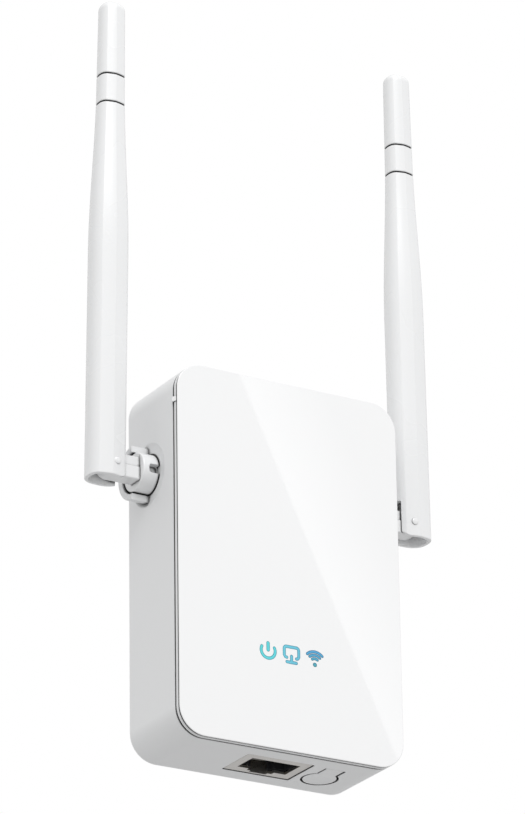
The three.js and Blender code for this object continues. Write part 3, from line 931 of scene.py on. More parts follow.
@dataclass
class Assembly:
    """Common ground of the sub-assemblies: the palette, and a list of the pieces they made."""

    palette: Palette
    made: list[str] = field(default_factory=list)

    def finish(self, piece: bpy.types.Object, body: str, slot: Slot, *stands_for: str) -> bpy.types.Object:
        """Shade, dress and hang a piece on its body.

        Args:
            piece: the new piece.
            body: the body that it rides on.
            slot: its finish.
            *stands_for: the nodes that it replaces.

        Returns:
            The piece.
        """
        tidy_surface(piece)
        self.palette.dress(piece, slot)
        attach(piece, body)
        if stands_for:
            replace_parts(piece, *stands_for)
        self.made.append(piece.name)
        LOG.info("%s rides on %s in %s", piece.name, body, slot.value)
        return piece


def millimetres(node: str) -> tuple[Vector, Vector]:
    """A node's box in millimetres."""
    low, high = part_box(node)
    return low / MM, high / MM


# ---- housing -------------------------------------------------------------------------------------


@dataclass
class KeyShape:
    """The keyhole-shaped key: a round pad on a tongue that bends at its root."""

    x: float = 14.2
    y: float = -8.9
    radius: float = 3.7
    tongue: float = 4.2
    root: float = -15.6
    slot: float = 0.45
    root_slot: float = 0.06
    thick: float = 1.5
    edge: float = 0.14
    dish: tuple[tuple[float, float], ...] = ((3.1, -0.5), (2.9, 0.0), (2.4, 0.12), (1.5, 0.22), (0.6, 0.26))
    post_y: float = -10.0
    post_width: float = 2.2

    def outline(self, grow: float = 0.0, root_gap: float = 0.0) -> list[Point]:
        """The key's outline seen from below, anticlockwise in X and Y.

        Args:
            grow: how much larger all round, for the slot.
            root_gap: how much further the root reaches, for the slot.

        Returns:
            The outline's points.
        """
        radius, half = self.radius + grow, self.tongue / 2 + grow
        meet = math.degrees(math.asin(half / radius))
        round_part = arc((self.x, self.y), radius, meet - 90, 270 - meet, 56)
        root = self.root - root_gap
        return [(self.x - half, root), (self.x + half, root), *round_part]


@dataclass
class Housing(Assembly):
    """Rear shell with its collars, the front cover's trim, the panel and the key."""

    width: float = 55.0
    height: float = 84.0
    corner: float = 6.2
    wall: float = 1.8
    seam: float = 20.4
    gap: float = 0.3
    seam_shade: float = 0.13
    back_round: float = 0.9
    front_round: float = 0.16
    panel_edge: float = 0.24
    panel_round: float = 0.17
    panel_plug: float = 1.35
    drum_y: float = -9.1
    drum_up: float = 19.9
    collar_outer: float = 6.2
    collar_inner: float = 4.75
    collar_out: float = 4.0
    dish: float = 7.1
    collar_half_turn: float = 88.0
    hole: float = 3.4
    vents: int = 9
    vent_pitch: float = 3.6
    vent_size: tuple[float, float] = (1.4, 9.0)
    blade_slot: tuple[float, float] = (2.1, 6.95)
    jack_room: float = 0.25
    label_size: tuple[float, float] = (34.0, 22.0)
    label_down: float = 18.0
    label_deep: float = 0.3
    lamp_window: float = 4.6
    tab_up: float = 33.3
    tab_half: float = 0.55
    tab_proud: float = 0.45
    through: float = 1.0
    key: KeyShape = field(default_factory=KeyShape)

    def __post_init__(self) -> None:
        """Read the housing's centre height, bottom and top from the frame."""
        low, high = millimetres("rear_housing")
        self.low, self.high = low.z, high.z
        self.mid = (low.z + high.z) / 2

    def ring(self, less: float, depth: float) -> Loop:
        """The housing's outline, moved in and set at a depth in Y.

        Args:
            less: how far in from the outside.
            depth: where along Y.

        Returns:
            The loop of points.
        """
        outline = rounded_rect(self.width - 2 * less, self.height - 2 * less, self.corner - less)
        return [Vector((x, depth, z + self.mid)) for x, z in outline]

    def shell(self) -> bpy.types.Object:
        """The tub: round back edge, crisp seam edge and a hollow inside.

        Returns:
            The tub, before anything is cut from it.
        """
        front = self.gap + self.seam_shade - self.seam
        path = [
            (self.back_round * (1 - math.sin(t)), -self.back_round * (1 - math.cos(t)))
            for t in [math.pi / 2 * i / 8 for i in range(9)]
        ]
        path += [
            (self.front_round * (1 - math.cos(t)), front + self.front_round * (1 - math.sin(t)))
            for t in [math.pi / 2 * i / 4 for i in range(5)]
        ]
        path += [(self.wall - 0.15, front), (self.wall, front + 0.15), (self.wall, -self.wall)]
        return mesh_from_loops("shell_rear", [self.ring(less, depth) for less, depth in path])

    def collar(self, side: Side) -> bpy.types.Object:
        """The half ring that shields the rear of the hinge drum.

        Args:
            side: which side of the housing.

        Returns:
            The half ring.
        """
        edge = side.value * self.width / 2
        centre = (self.drum_y, self.mid + self.drum_up)
        turn = self.collar_half_turn
        outer = arc(centre, self.collar_outer, -turn, turn, 40)
        inner = arc(centre, self.collar_inner, turn, -turn, 40)
        ends = sorted((edge - side.value * 0.9, edge + side.value * self.collar_out))
        rounds = (0.3, 0.0) if side is Side.LEFT else (0.0, 0.3)
        return Prism(outer + inner, Axis.X, *ends, *rounds).build("collar")

    def hinge_cuts(self, side: Side) -> list[bpy.types.Object]:
        """The soft dish round the drum, the pocket that it sits in and the hole behind.

        Args:
            side: which side of the housing.

        Returns:
            The three cutters, in that order.
        """
        edge = side.value * self.width / 2
        centre = (self.drum_y, self.mid + self.drum_up)
        inward = -side.value
        dish = [
            (edge - inward, self.dish + 0.4),
            (edge, self.dish),
            (edge + inward * 0.2, self.dish - 0.35),
            (edge + inward * 0.35, self.dish - 1.2),
            (edge + inward * 0.36, 0.5),
        ]
        pocket = [(edge - inward * 6, self.collar_inner), (edge + inward * 0.6, self.collar_inner)]
        hole = [(edge - inward * 2, self.hole), (edge + inward * 4, self.hole)]
        return [
            turned("dish", dish, centre, 96),
            turned("pocket", pocket, centre, 96),
            turned("hole", hole, centre, 48),
        ]

    def openings(self) -> list[bpy.types.Object]:
        """Cutters for the jack window, the key's slot, the vents, the blades and the label field.

        Returns:
            The cutters.
        """
        jack_low, jack_high = millimetres("jack_shell")
        centre = (jack_low + jack_high) / 2
        size = jack_high - jack_low
        room = 2 * self.jack_room
        corners = rounded_rect(size.x + room, size.y + room, 0.35, 4)
        window = [(x + centre.x, y + centre.y) for x, y in corners]
        key_slot = self.key.outline(self.key.slot, self.key.root_slot)
        below, inside = self.low - self.through, self.low + 4
        cutters = [
            Prism(window, Axis.Z, below, inside).build("window"),
            Prism(key_slot, Axis.Z, below, inside).build("key_slot"),
        ]
        middle = -self.seam / 2
        for i in range(self.vents):
            x = (i - (self.vents - 1) / 2) * self.vent_pitch
            slot = [(x + u, middle + v) for u, v in rounded_rect(*self.vent_size, 0.69, 8)]
            cutters.append(Prism(slot, Axis.Z, self.high - 4, self.high + self.through).build("vent"))
        for name in ("plug_blade_left", "plug_blade_right"):
            low, high = millimetres(name)
            middle_x = (low.x + high.x) / 2
            slot = [(middle_x + u, v) for u, v in rounded_rect(*self.blade_slot, 0.3, 4)]
            cutters.append(Prism(slot, Axis.Y, -4.0, self.through).build("blade_slot"))
        label = [(u, v + self.mid - self.label_down) for u, v in rounded_rect(*self.label_size, 1.5, 8)]
        cutters.append(Prism(label, Axis.Y, -self.label_deep, self.through).build("label_field"))
        return cutters

    def build_shell(self) -> None:
        """Make the rear shell and let it stand for its node."""
        shell = self.shell()
        for side in Side:
            dish, pocket, hole = self.hinge_cuts(side)
            cut(shell, dish)
            join(shell, self.collar(side))
            cut(shell, pocket, hole)
        cut(shell, *self.openings())
        self.finish(shell, "housing", Slot.HOUSING, "rear_housing")

    def build_cover(self) -> None:
        """Make the trim round the front edge, with its inner lip and its light windows."""
        panel_low, panel_high = millimetres("front_panel")
        front = panel_low.y + self.panel_edge + self.gap + self.seam_shade
        back = -self.seam - self.seam_shade
        floor = panel_high.y + 0.05
        small, inner, lip = 0.12, self.wall + self.gap, 2.0
        path = [
            (inner + 1, back), (inner + 1, back + lip), (inner, back + lip), (inner, back), (small, back),
            (0.0, back - small), (0.0, front + small), (small, front), (1.2, front), (1.2, floor),
        ]
        cover = mesh_from_loops("trim_front", [self.ring(less, depth) for less, depth in path])
        for lamp in ("led_power", "led_link", "led_wifi"):
            low, high = millimetres(lamp)
            middle = (low + high) / 2
            corners = rounded_rect(self.lamp_window, self.lamp_window, 0.3, 3)
            window = [(x + middle.x, z + middle.z) for x, z in corners]
            cut(cover, Prism(window, Axis.Y, floor - 1, back + 1).build("light_window"))
        self.finish(cover, "housing", Slot.HOUSING, "front_cover")
        self.build_tab(front, back)

    def build_tab(self, front: float, back: float) -> None:
        """Make the small wedge of a tab that stands out of the trim's left side.

        Args:
            front: the trim's front edge.
            back: the trim's back edge.
        """
        side, near, far = -self.width / 2, front - 0.2, back + 0.15
        inner, outer = side + 0.3, side - self.tab_proud
        wedge = [(inner, near), (inner, far), (outer, far), (outer, far - 0.25), (side - 0.02, near)]
        height = self.mid + self.tab_up
        tab = Prism(wedge, Axis.Z, height - self.tab_half, height + self.tab_half).build("seam_tab")
        # The tab takes the whiter, glossier panel finish so that it shows as a bright white spot; its
        # lighter colour is a painted highlight.
        self.finish(tab, "housing", Slot.PANEL)

    def build_panel(self) -> None:
        """Make the polished panel: a full-size face with a round edge, on a plug behind it."""
        low, high = millimetres("front_panel")
        front, edge, round_edge = low.y + 0.01, low.y + self.panel_edge, self.panel_round
        path = [(self.panel_plug, high.y), (self.panel_plug, edge), (0.06, edge), (0.0, edge - 0.05)]
        path += [
            (round_edge * (1 - math.cos(t)), front + round_edge * (1 - math.sin(t)))
            for t in [math.pi / 2 * i / 5 for i in range(6)]
        ]
        panel = mesh_from_loops("panel_front", [self.ring(less + 0.02, depth) for less, depth in path])
        self.finish(panel, "housing", Slot.PANEL, "front_panel")

    def build_key(self) -> None:
        """Make the key with a shallow finger dish in its pad."""
        low, high = millimetres("reset_button")
        shape = self.key
        key = Prism(shape.outline(), Axis.Z, low.z, low.z + shape.thick, shape.edge).build("key_reset")
        turns = [2 * math.pi * i / 48 for i in range(48)]
        dish = [
            [Vector((shape.x + r * math.cos(t), shape.y + r * math.sin(t), low.z + up)) for t in turns]
            for r, up in shape.dish
        ]
        cut(key, mesh_from_loops("finger_dish", dish))
        corners = rounded_rect(shape.post_width, shape.post_width, 1.09, 6)
        post = [(shape.x + u, shape.post_y + v) for u, v in corners]
        join(key, Prism(post, Axis.Z, low.z + 1.3, high.z, 0.0, 0.15).build("post"))
        self.finish(key, "button", Slot.HOUSING, "reset_button")

    def build(self) -> None:
        """Make every piece of the housing."""
        self.build_shell()
        self.build_cover()
        self.build_panel()
        self.build_key()


# ---- icons ---------------------------------------------------------------------------------------


def stroke(path: Sequence[Point], width: float, steps: int = 8) -> list[Point]:
    """The outline of a line drawn with a round pen.

    Args:
        path: the line's points.
        width: the pen's width.
        steps: steps in each round end.

    Returns:
        An anticlockwise outline.
    """
    half = width / 2
    points = [Vector(p) for p in path]
    lefts, rights = [], []
    for i, here in enumerate(points):
        ahead = points[min(i + 1, len(points) - 1)] - points[max(i - 1, 0)]
        normal = Vector((-ahead.y, ahead.x)).normalized()
        lefts.append(here + normal * half)
        rights.append(here - normal * half)
    ends = (points[1] - points[0], points[-1] - points[-2])
    heading = [math.degrees(math.atan2(d.y, d.x)) for d in ends]
    start_cap = arc(tuple(points[0]), half, heading[0] + 90, heading[0] + 270, steps)[1:-1]
    end_cap = arc(tuple(points[-1]), half, heading[1] - 90, heading[1] + 90, steps)[1:-1]
    return [tuple(p) for p in rights] + end_cap + [tuple(p) for p in reversed(lefts)] + start_cap


@dataclass
class Icons(Assembly):
    """The three lit marks: power, screen and wifi."""

    pitch: float = 5.75
    pen: float = 0.76
    thick: float = 0.09
    sunk: float = 0.008
    core_less: float = 0.3
    core_raised: float = 0.006
    reach: float = 2.0

    def __post_init__(self) -> None:
        """Read the marks' centre from the lamps behind them."""
        low, high = millimetres("led_link")
        panel_low, _ = millimetres("front_panel")
        self.centre = ((low.x + high.x) / 2, (low.z + high.z) / 2)
        self.front = panel_low.y

    def paths(self) -> dict[str, list[tuple[list[Point], float]]]:
        """Each mark's pen paths about its own centre.

        Returns:
            For each mark, its paths with the pen's width for each.
        """
        bowl, corner, half = 1.72, 0.55, 1.78
        power = arc((0, 0.02), bowl, 153, 387, 30)
        screen = (
            [(-1.2, -0.72), (-1.55, -0.62), (-half, -0.3)]
            + arc((corner - half, 1.72 - corner), corner, 180, 90, 6)
            + arc((half - corner, 1.72 - corner), corner, 90, 0, 6)
            + [(half, -0.3), (1.55, -0.66), (1.2, -0.76)]
        )
        fan, thin = (0.0, -1.08), self.pen * 0.92
        spreads = ((2.72, 43.0), (1.95, 40.0), (1.17, 33.0))
        waves = [(arc(fan, reach, 90 + spread, 90 - spread, 20), thin) for reach, spread in spreads]
        return {
            "power": [(power, self.pen), ([(0, 0.16), (0, 0.9), (0, 1.68)], self.pen * 1.12)],
            "screen": [(screen, self.pen), ([(0, -0.35), (0, -1.0), (0, -1.5)], self.pen),
                       ([(-1.15, -1.72), (0, -1.74), (1.15, -1.72)], self.pen)],
            "wifi": [*waves, ([(-0.02, -1.29), (0, -1.3), (0.02, -1.29)], 0.98)],
        }

    def marks(self, name: str, step: int, narrower: float, raised: float) -> bpy.types.Object:
        """Draw one mark as a thin inlay.

        Args:
            name: which mark.
            step: its place, from -1 to 1.
            narrower: how much is taken off the pen's width.
            raised: how far its face stands in front of the lowest layer's.

        Returns:
            The inlay.
        """
        x, z = self.centre[0] + step * self.pitch, self.centre[1]
        whole = None
        for path, pen in self.paths()[name]:
            placed = [(u + x, v + z) for u, v in stroke(path, pen - narrower)]
            face = self.front + self.sunk - raised
            mark = Prism(placed, Axis.Y, face, self.front + self.thick).build("mark")
            whole = mark if whole is None else join(whole, mark)
        return whole

    def build(self) -> None:
        """Make each mark from a darker rim and a brighter core, in its own colours."""
        rims = {
            "power": ((0.035, 0.29, 0.32), (0.03, 0.26, 0.33)),
            "screen": ((0.045, 0.25, 0.33), (0.04, 0.2, 0.3)),
            "wifi": ((0.025, 0.12, 0.25), (0.02, 0.16, 0.18)),
        }
        cores = {
            "power": ((0.09, 0.54, 0.56), (0.1, 0.54, 0.6)),
            "screen": ((0.13, 0.5, 0.61), (0.11, 0.42, 0.55)),
            "wifi": ((0.07, 0.32, 0.58), (0.06, 0.31, 0.36)),
        }
        layers = (("rim", rims, 0.0, 0.0), ("core", cores, self.core_less, self.core_raised))
        for step, name in enumerate(rims):
            for layer, colours, narrower, raised in layers:
                mark = self.marks(name, step - 1, narrower, raised)
                mark.name = mark.data.name = f"icon_{name}_{layer}"
                self.finish(mark, "housing", Slot.CLEAR)
                x, z = self.centre[0] + (step - 1) * self.pitch, self.centre[1]
                across = ((x - self.reach) * MM, (x + self.reach) * MM)
                down = ((z + self.reach) * MM, (z - self.reach) * MM)
                fall = 1.0 if name == "wifi" else 0.3
                ink = LitInk(f"ink_{name}_{layer}", *colours[name], across, down, fall)
                mark.data.materials.clear()
                mark.data.materials.append(ink.material())


# ---- antennas ------------------------------------------------------------------------------------


@dataclass
class Section:
    """An antenna's cross-section: a soft-cornered oval whose front is two slightly bowed facets."""

    half_width: float = 4.3
    half_depth: float = 3.8
    power: float = 2.5
    crease: float = 3.05
    bow: float = 0.3
    around: int = 72
    facet_steps: int = 5

    def depth_at(self, x: float) -> float:
        """How deep the plain oval is at a distance from its middle."""
        return self.half_depth * (1 - (abs(x) / self.half_width) ** self.power) ** (1 / self.power)

    def front_at(self, x: float) -> float:
        """How deep the front is: two facets, slightly bowed towards the oval.

        Args:
            x: distance from the middle.

        Returns:
            The depth.
        """
        edge = self.depth_at(self.crease)
        facet = self.half_depth - (self.half_depth - edge) * abs(x) / self.crease
        return facet + (self.depth_at(x) - facet) * self.bow

    @property
    def creases(self) -> tuple[int, int, int]:
        """The columns at the two creases and the ridge."""
        return (0, self.facet_steps, 2 * self.facet_steps)

    def loop(self, scale: float, less: float = 0.0) -> list[Point]:
        """The section's points, anticlockwise from its left crease.

        Args:
            scale: its size at this height.
            less: how much is taken off all round.

        Returns:
            The points in X and Y.
        """
        steps = self.facet_steps
        places = [self.crease * (i / steps - 1) for i in range(2 * steps + 1)]
        front = [(x, -self.front_at(x)) for x in places]
        start = math.atan2(-self.depth_at(self.crease), self.crease)
        oval = []
        for i in range(1, self.around):
            a = start + (math.pi - 2 * start) * i / self.around
            c, s = abs(math.cos(a)) / self.half_width, abs(math.sin(a)) / self.half_depth
            r = (c**self.power + s**self.power) ** (-1 / self.power)
            oval.append((r * math.cos(a), r * math.sin(a)))
        size = scale - less / self.half_width
        return [(x * size, y * size) for x, y in front + oval]


@dataclass
class Antenna(Assembly):
    """One antenna: its sleeve, and the hinge arm with its drum."""

    side: Side = Side.LEFT
    leans: dict[Side, float] = field(default_factory=lambda: {Side.LEFT: 1.0, Side.RIGHT: 0.4})
    offset: float = -1.1
    sleeve_y: float = -9.95
    bottom: float = -3.4
    top: float = 110.79
    wall: float = 1.1
    mouth_wall: float = 0.85
    slot: tuple[float, float] = (-2.2, 2.3)
    pin_span: tuple[float, float] = (-2.95, 3.2)
    ears: tuple[tuple[float, float, float], ...] = ((-7.0, 0.0, 3.0), (0.0, 7.0, 1.3))
    neck_from: float = 50.0
    neck_to: float = 90.0
    neck_scale: float = 0.715
    tip_scale: float = 0.668
    grooves: tuple[float, float] = (85.5, 92.4)
    groove_half: float = 0.34
    groove_deep: float = 0.5
    tip_round: float = 1.9
    clevis_top: float = 5.0
    pin_hole: float = 1.7
    pin_x: float = -37.4
    pin_radius: float = 0.7
    drum_y: float = -9.1
    drum_radius: float = 4.4
    drum_out: float = 3.5
    arm_y: float = -9.9
    arm_thick: float = 4.0
    arm_half: float = 2.6
    neck: float = 3.1
    clip_groove: float = 2.4
    clip_in: float = 2.75
    clip_half: float = 0.3
    coax_bore: float = 1.0
    window_size: tuple[float, float] = (2.7, 2.0)
    step_size: tuple[float, float] = (4.1, 3.1)
    step_deep: float = 0.3
    section: Section = field(default_factory=Section)

    def __post_init__(self) -> None:
        """Read the hinge's height and the side wall's place from the frame."""
        low, high = millimetres("hinge_arm_left")
        self.z = (low.z + high.z) / 2
        self.edge = -Housing.width / 2

    def scale_at(self, z: float) -> float:
        """The section's size at a height above the pin.

        Args:
            z: the height.

        Returns:
            The size, 1 at the foot.
        """
        t = min(1.0, max(0.0, (z - self.neck_from) / (self.neck_to - self.neck_from)))
        necked = 1 - (1 - self.neck_scale) * t * t * (3 - 2 * t)
        if z <= self.neck_to:
            return necked
        narrowing = self.neck_scale - self.tip_scale
        return self.neck_scale - narrowing * (z - self.neck_to) / (self.top - self.neck_to)

    def heights(self) -> list[Point]:
        """The outer skin's rings from the foot to the tip.

        Returns:
            For each ring, its height and how much is taken off.
        """
        foot = 0.25
        rings = [(self.bottom + foot * (1 - math.cos(t)), foot * (1 - math.sin(t)))
                 for t in [math.pi / 2 * i / 3 for i in range(4)]]
        rings += [(z, 0.0) for z in (6.0, 20.0, 34.0, 46.0)]
        rings += [(self.neck_from + 2.2 * i, 0.0) for i in range(16)]
        half, deep = self.groove_half, self.groove_deep
        for z in self.grooves:
            rings += [(z - half, 0.0), (z - half * 0.55, deep * 0.25), (z - half * 0.4, deep),
                      (z + half * 0.4, deep), (z + half * 0.55, deep * 0.25), (z + half, 0.0)]
            rings += [(z + 2.2, 0.0), (z + 4.6, 0.0)]
        rings += [(100.0, 0.0), (105.0, 0.0)]
        r = self.tip_round
        rings += [(self.top - r + r * math.sin(t), r * (1 - math.cos(t)))
                  for t in [math.radians(82) * i / 9 for i in range(10)]]
        return rings

    def place_sleeve(self, made: bpy.types.Object) -> None:
        """Move a piece from the sleeve's own axis to its place on the pin, leaning inwards.

        Args:
            made: the piece.
        """
        pin = Matrix.Translation(Vector((self.pin_x, self.sleeve_y, self.z)) * MM)
        lean = Matrix.Rotation(math.radians(self.leans[self.side]), 4, "Y")
        centre = Matrix.Translation(Vector((self.offset, 0, 0)) * MM)
        made.data.transform(pin @ lean @ centre)

    def sleeve(self) -> bpy.types.Object:
        """The hollow sleeve with its mouth, clevis slot, rounded ears, pin hole and grooves.

        Returns:
            The sleeve, upright on its own axis.
        """
        section = self.section
        inside = (self.top - 4, 100.0, 90.0, 82.0, 74.0, 66.0, 58.0, 50.0, 8.0)
        inner = [(z, self.wall) for z in inside]
        inner += [
            (self.bottom + 1.4, self.mouth_wall + 0.2),
            (self.bottom + 0.1, self.mouth_wall),
            (self.bottom, self.mouth_wall - 0.08),
        ]
        loops = [[Vector((x, y, z)) for x, y in section.loop(self.scale_at(z), less)]
                 for z, less in inner + self.heights()]
        sleeve = mesh_from_loops("sleeve", loops, section.creases)
        front, rear = self.slot
        slot = [(x + 5, (front + rear) / 2 + y) for x, y in rounded_rect(8, rear - front, 0.7, 6)]
        cut(sleeve, Prism(slot, Axis.Z, self.bottom - 1, self.clevis_top, 0, 0.4).build("clevis"))
        for near, far, corner in self.ears:
            x0, z0 = section.half_width + 0.2 - corner, self.bottom + corner
            beyond, under = x0 + corner + 2, self.bottom - 2
            bite = arc((x0, z0), corner, 0, -90, 16) + [(x0, under), (beyond, under), (beyond, z0)]
            cut(sleeve, Prism(bite[::-1], Axis.Y, near, far).build("ear"))
        hole = [(x - self.offset, z) for x, z in rounded_rect(self.pin_hole, self.pin_hole, 0.84, 6)]
        cut(sleeve, Prism(hole, Axis.Y, self.pin_span[0] - 0.15, 7.0).build("pin_hole"))
        return join(sleeve, self.pin_head())

    def pin_head(self) -> bpy.types.Object:
        """The low dome over the pin's front end.

        Returns:
            The dome, on the sleeve's own axis.
        """
        facet = self.section.front_at(self.offset)
        turns = [2 * math.pi * i / 40 for i in range(40)]
        dome = [(0.8, -0.3), (0.8, 0.05), (0.74, 0.14), (0.6, 0.21), (0.35, 0.26), (0.08, 0.27)]
        loops = [
            [Vector((r * math.cos(t) - self.offset, -facet - up, r * math.sin(t))) for t in turns]
            for r, up in dome
        ]
        return mesh_from_loops("pin_head", loops)

    def drum(self) -> bpy.types.Object:
        """The drum's round head, its neck through the wall and the groove for its clip.

        Returns:
            The drum.
        """
        out, face = self.edge - self.drum_out, self.edge + 0.3
        edge_round = 0.35
        profile = [(out, 0.4)]
        profile += [
            (out + edge_round * (1 - math.cos(t)), self.drum_radius - edge_round * (1 - math.sin(t)))
            for t in [math.pi / 2 * i / 5 for i in range(6)]
        ]
        neck, groove = self.neck, self.clip_groove
        clip = self.edge + self.clip_in
        start, end = clip - self.clip_half, clip + self.clip_half
        profile += [(face - 0.1, self.drum_radius), (face, self.drum_radius - 0.1), (face, neck)]
        profile += [(start, neck), (start, groove), (end, groove), (end, neck)]
        profile += [(self.edge + 3.35, neck), (self.edge + 3.5, neck - 0.15), (self.edge + 3.5, 0.4)]
        return turned("hinge", profile, (self.drum_y, self.z), 80)

    def arm(self) -> bpy.types.Object:
        """The flat arm from the drum to the round knuckle, with rounded edges.

        Returns:
            The arm.
        """
        near = self.edge - self.drum_out + 0.4
        outline = [(near, self.z - self.arm_half), (near, self.z + self.arm_half)]
        outline += arc((self.pin_x, self.z), self.arm_half, 90, 270, 32)
        half = self.arm_thick / 2
        return Prism(outline, Axis.Y, self.arm_y - half, self.arm_y + half, 0.3, 0.3).build("arm")

    def hinge(self) -> bpy.types.Object:
        """The whole hinge moulding: drum, arm, coax bore, window and moulding step.

        Returns:
            The moulding.
        """
        whole = join(self.drum(), self.arm())
        exit_x = self.pin_x + 3.2
        bore = [(exit_x, self.coax_bore), (self.edge + 5, self.coax_bore)]
        notch = [(exit_x + 0.7 + x, self.drum_y + y) for x, y in rounded_rect(1.4, 2.0, 0.3, 4)]
        around_pin = rounded_rect(self.pin_hole, self.pin_hole, 0.84, 6)
        pin = [(self.pin_x + x, self.z + z) for x, z in around_pin]
        face = self.edge + 0.3
        corners = rounded_rect(*self.window_size, 0.7, 8)
        window = [(face - 1.05 + x, self.z - 0.1 + z) for x, z in corners]
        front = self.arm_y - self.arm_thick / 2
        step_x = self.edge - self.drum_out - 2
        step = [(step_x + x, self.z + 1.85 + z) for x, z in rounded_rect(*self.step_size, 0.3, 4)]
        return cut(
            whole,
            turned("bore", bore, (self.drum_y, self.z), 24),
            Prism(notch, Axis.Z, self.z, self.z + 5).build("exit"),
            Prism(pin, Axis.Y, -16.0, -4.0).build("pin_bore"),
            Prism(window, Axis.Y, self.drum_y - 6, self.drum_y - 2.4).build("window"),
            Prism(step, Axis.Y, front - 1, front + self.step_deep).build("step"),
        )

    def pin(self) -> bpy.types.Object:
        """The hinge pin with its domed ends.

        Returns:
            The pin, on the sleeve's own axis.
        """
        width = 2 * self.pin_radius
        circle = [(x - self.offset, z) for x, z in rounded_rect(width, width, 0.69, 8)]
        return Prism(circle, Axis.Y, *self.pin_span, 0.25, 0.25).build("pin")

    def build(self) -> None:
        """Make the sleeve, the pin and the hinge moulding for this side."""
        word = self.side.word
        sleeve, pin, hinge = self.sleeve(), self.pin(), self.hinge()
        self.place_sleeve(sleeve)
        self.place_sleeve(pin)
        for made, name in ((sleeve, "antenna"), (pin, "pivot_pin"), (hinge, "swivel")):
            made.name = made.data.name = f"{name}_{word}"
            if self.side is Side.RIGHT:
                mirror_x(made)
        self.finish(sleeve, f"antenna_{word}", Slot.ANTENNA, f"antenna_sleeve_{word}")
        self.finish(pin, f"antenna_{word}", Slot.STEEL, f"hinge_pin_{word}")
        self.finish(hinge, f"hinge_{word}", Slot.ANTENNA, f"hinge_arm_{word}")


# ---- jack and plug -------------------------------------------------------------------------------


@dataclass
class Jack(Assembly):
    """The ethernet jack's metal shell with its stepped mouth."""

    skin: float = 0.7
    mouth: tuple[tuple[float, float], ...] = ((11.8, -7.7), (6.2, -6.7), (4.2, -5.9))
    mouth_front: float = -14.1

    def mouth_outline(self, middle: float) -> list[Point]:
        """The mouth's outline: wide by the contacts, narrowing in steps to the latch.

        Args:
            middle: the mouth's centre along X.

        Returns:
            The outline's points.
        """
        right = [(middle + self.mouth[0][0] / 2, self.mouth_front)]
        for (width, rear), following in zip(self.mouth, [*self.mouth[1:], None]):
            right.append((middle + width / 2, rear))
            if following:
                right.append((middle + following[0] / 2, rear))
        return right + [(2 * middle - x, y) for x, y in reversed(right)]

    def build(self) -> None:
        """Make the shell and let it stand for its node."""
        low, high = millimetres("jack_shell")
        middle = (low + high) / 2
        size = high - low
        outer = [(x + middle.x, y + middle.y) for x, y in rounded_rect(size.x, size.y, 0.3, 5)]
        inner_size = (size.x - 2 * self.skin, size.y - 2 * self.skin)
        inner = [(x + middle.x, y + middle.y) for x, y in rounded_rect(*inner_size, 0.2, 3)]
        leg = [(x + middle.x, y + low.y) for x, y in rounded_rect(size.x - 4, 4, 0.2, 3)]
        shell = Prism(outer, Axis.Z, low.z, high.z, 0.16, 0.0).build("jack_face")
        cut(
            shell,
            Prism(inner, Axis.Z, low.z + self.skin, high.z + 1).build("inside"),
            Prism(self.mouth_outline(middle.x), Axis.Z, low.z - 1, low.z + 3).build("mouth"),
            Prism(leg, Axis.Z, low.z + 11, high.z + 1).build("legs"),
        )
        self.finish(shell, "housing", Slot.STEEL, "jack_shell")


@dataclass
class Blades(Assembly):
    """The two plug blades, with rounded tips and a hole in each."""

    hole_at: float = 12.0
    hole_radius: float = 1.6
    tip_round: float = 1.6
    edge_round: float = 0.3

    def build(self) -> None:
        """Make both blades."""
        for side in Side:
            node = f"plug_blade_{side.word}"
            low, high = millimetres(node)
            half = (high.z - low.z) / 2
            r = self.tip_round
            tip = arc((high.y - r, half - r), r, 0, 90, 8)
            outline = [(low.y, -half)] + [(y, -z) for y, z in reversed(tip)] + tip + [(low.y, half)]
            soft = (self.edge_round, self.edge_round)
            blade = Prism(outline, Axis.X, low.x, high.x, *soft).build(f"blade_{side.word}")
            wide = 2 * self.hole_radius
            circle = rounded_rect(wide, wide, self.hole_radius - 0.01, 12)
            hole = [(self.hole_at + y, z) for y, z in circle]
            cut(blade, Prism(hole, Axis.X, low.x - 1, high.x + 1).build("hole"))
            self.finish(blade, "housing", Slot.NICKEL, node)


@dataclass
class Inside(Assembly):
    """Everything whose node is kept: boards, parts on them, contacts, clips, washers and leads."""

    def build(self) -> None:
        """Dress each kept node in its slot's finish."""
        replaced = {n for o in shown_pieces() for n in o.get("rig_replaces", [])}
        for row in frame["record"]["subparts"]:
            node = row["node"]
            if node in replaced or node not in frame["nodes"]:
                continue
            self.palette.dress_node(node, Slot(row["material_slot"]))
            LOG.info("%s keeps its node in %s", node, row["material_slot"])


# ---- studio --------------------------------------------------------------------------------------


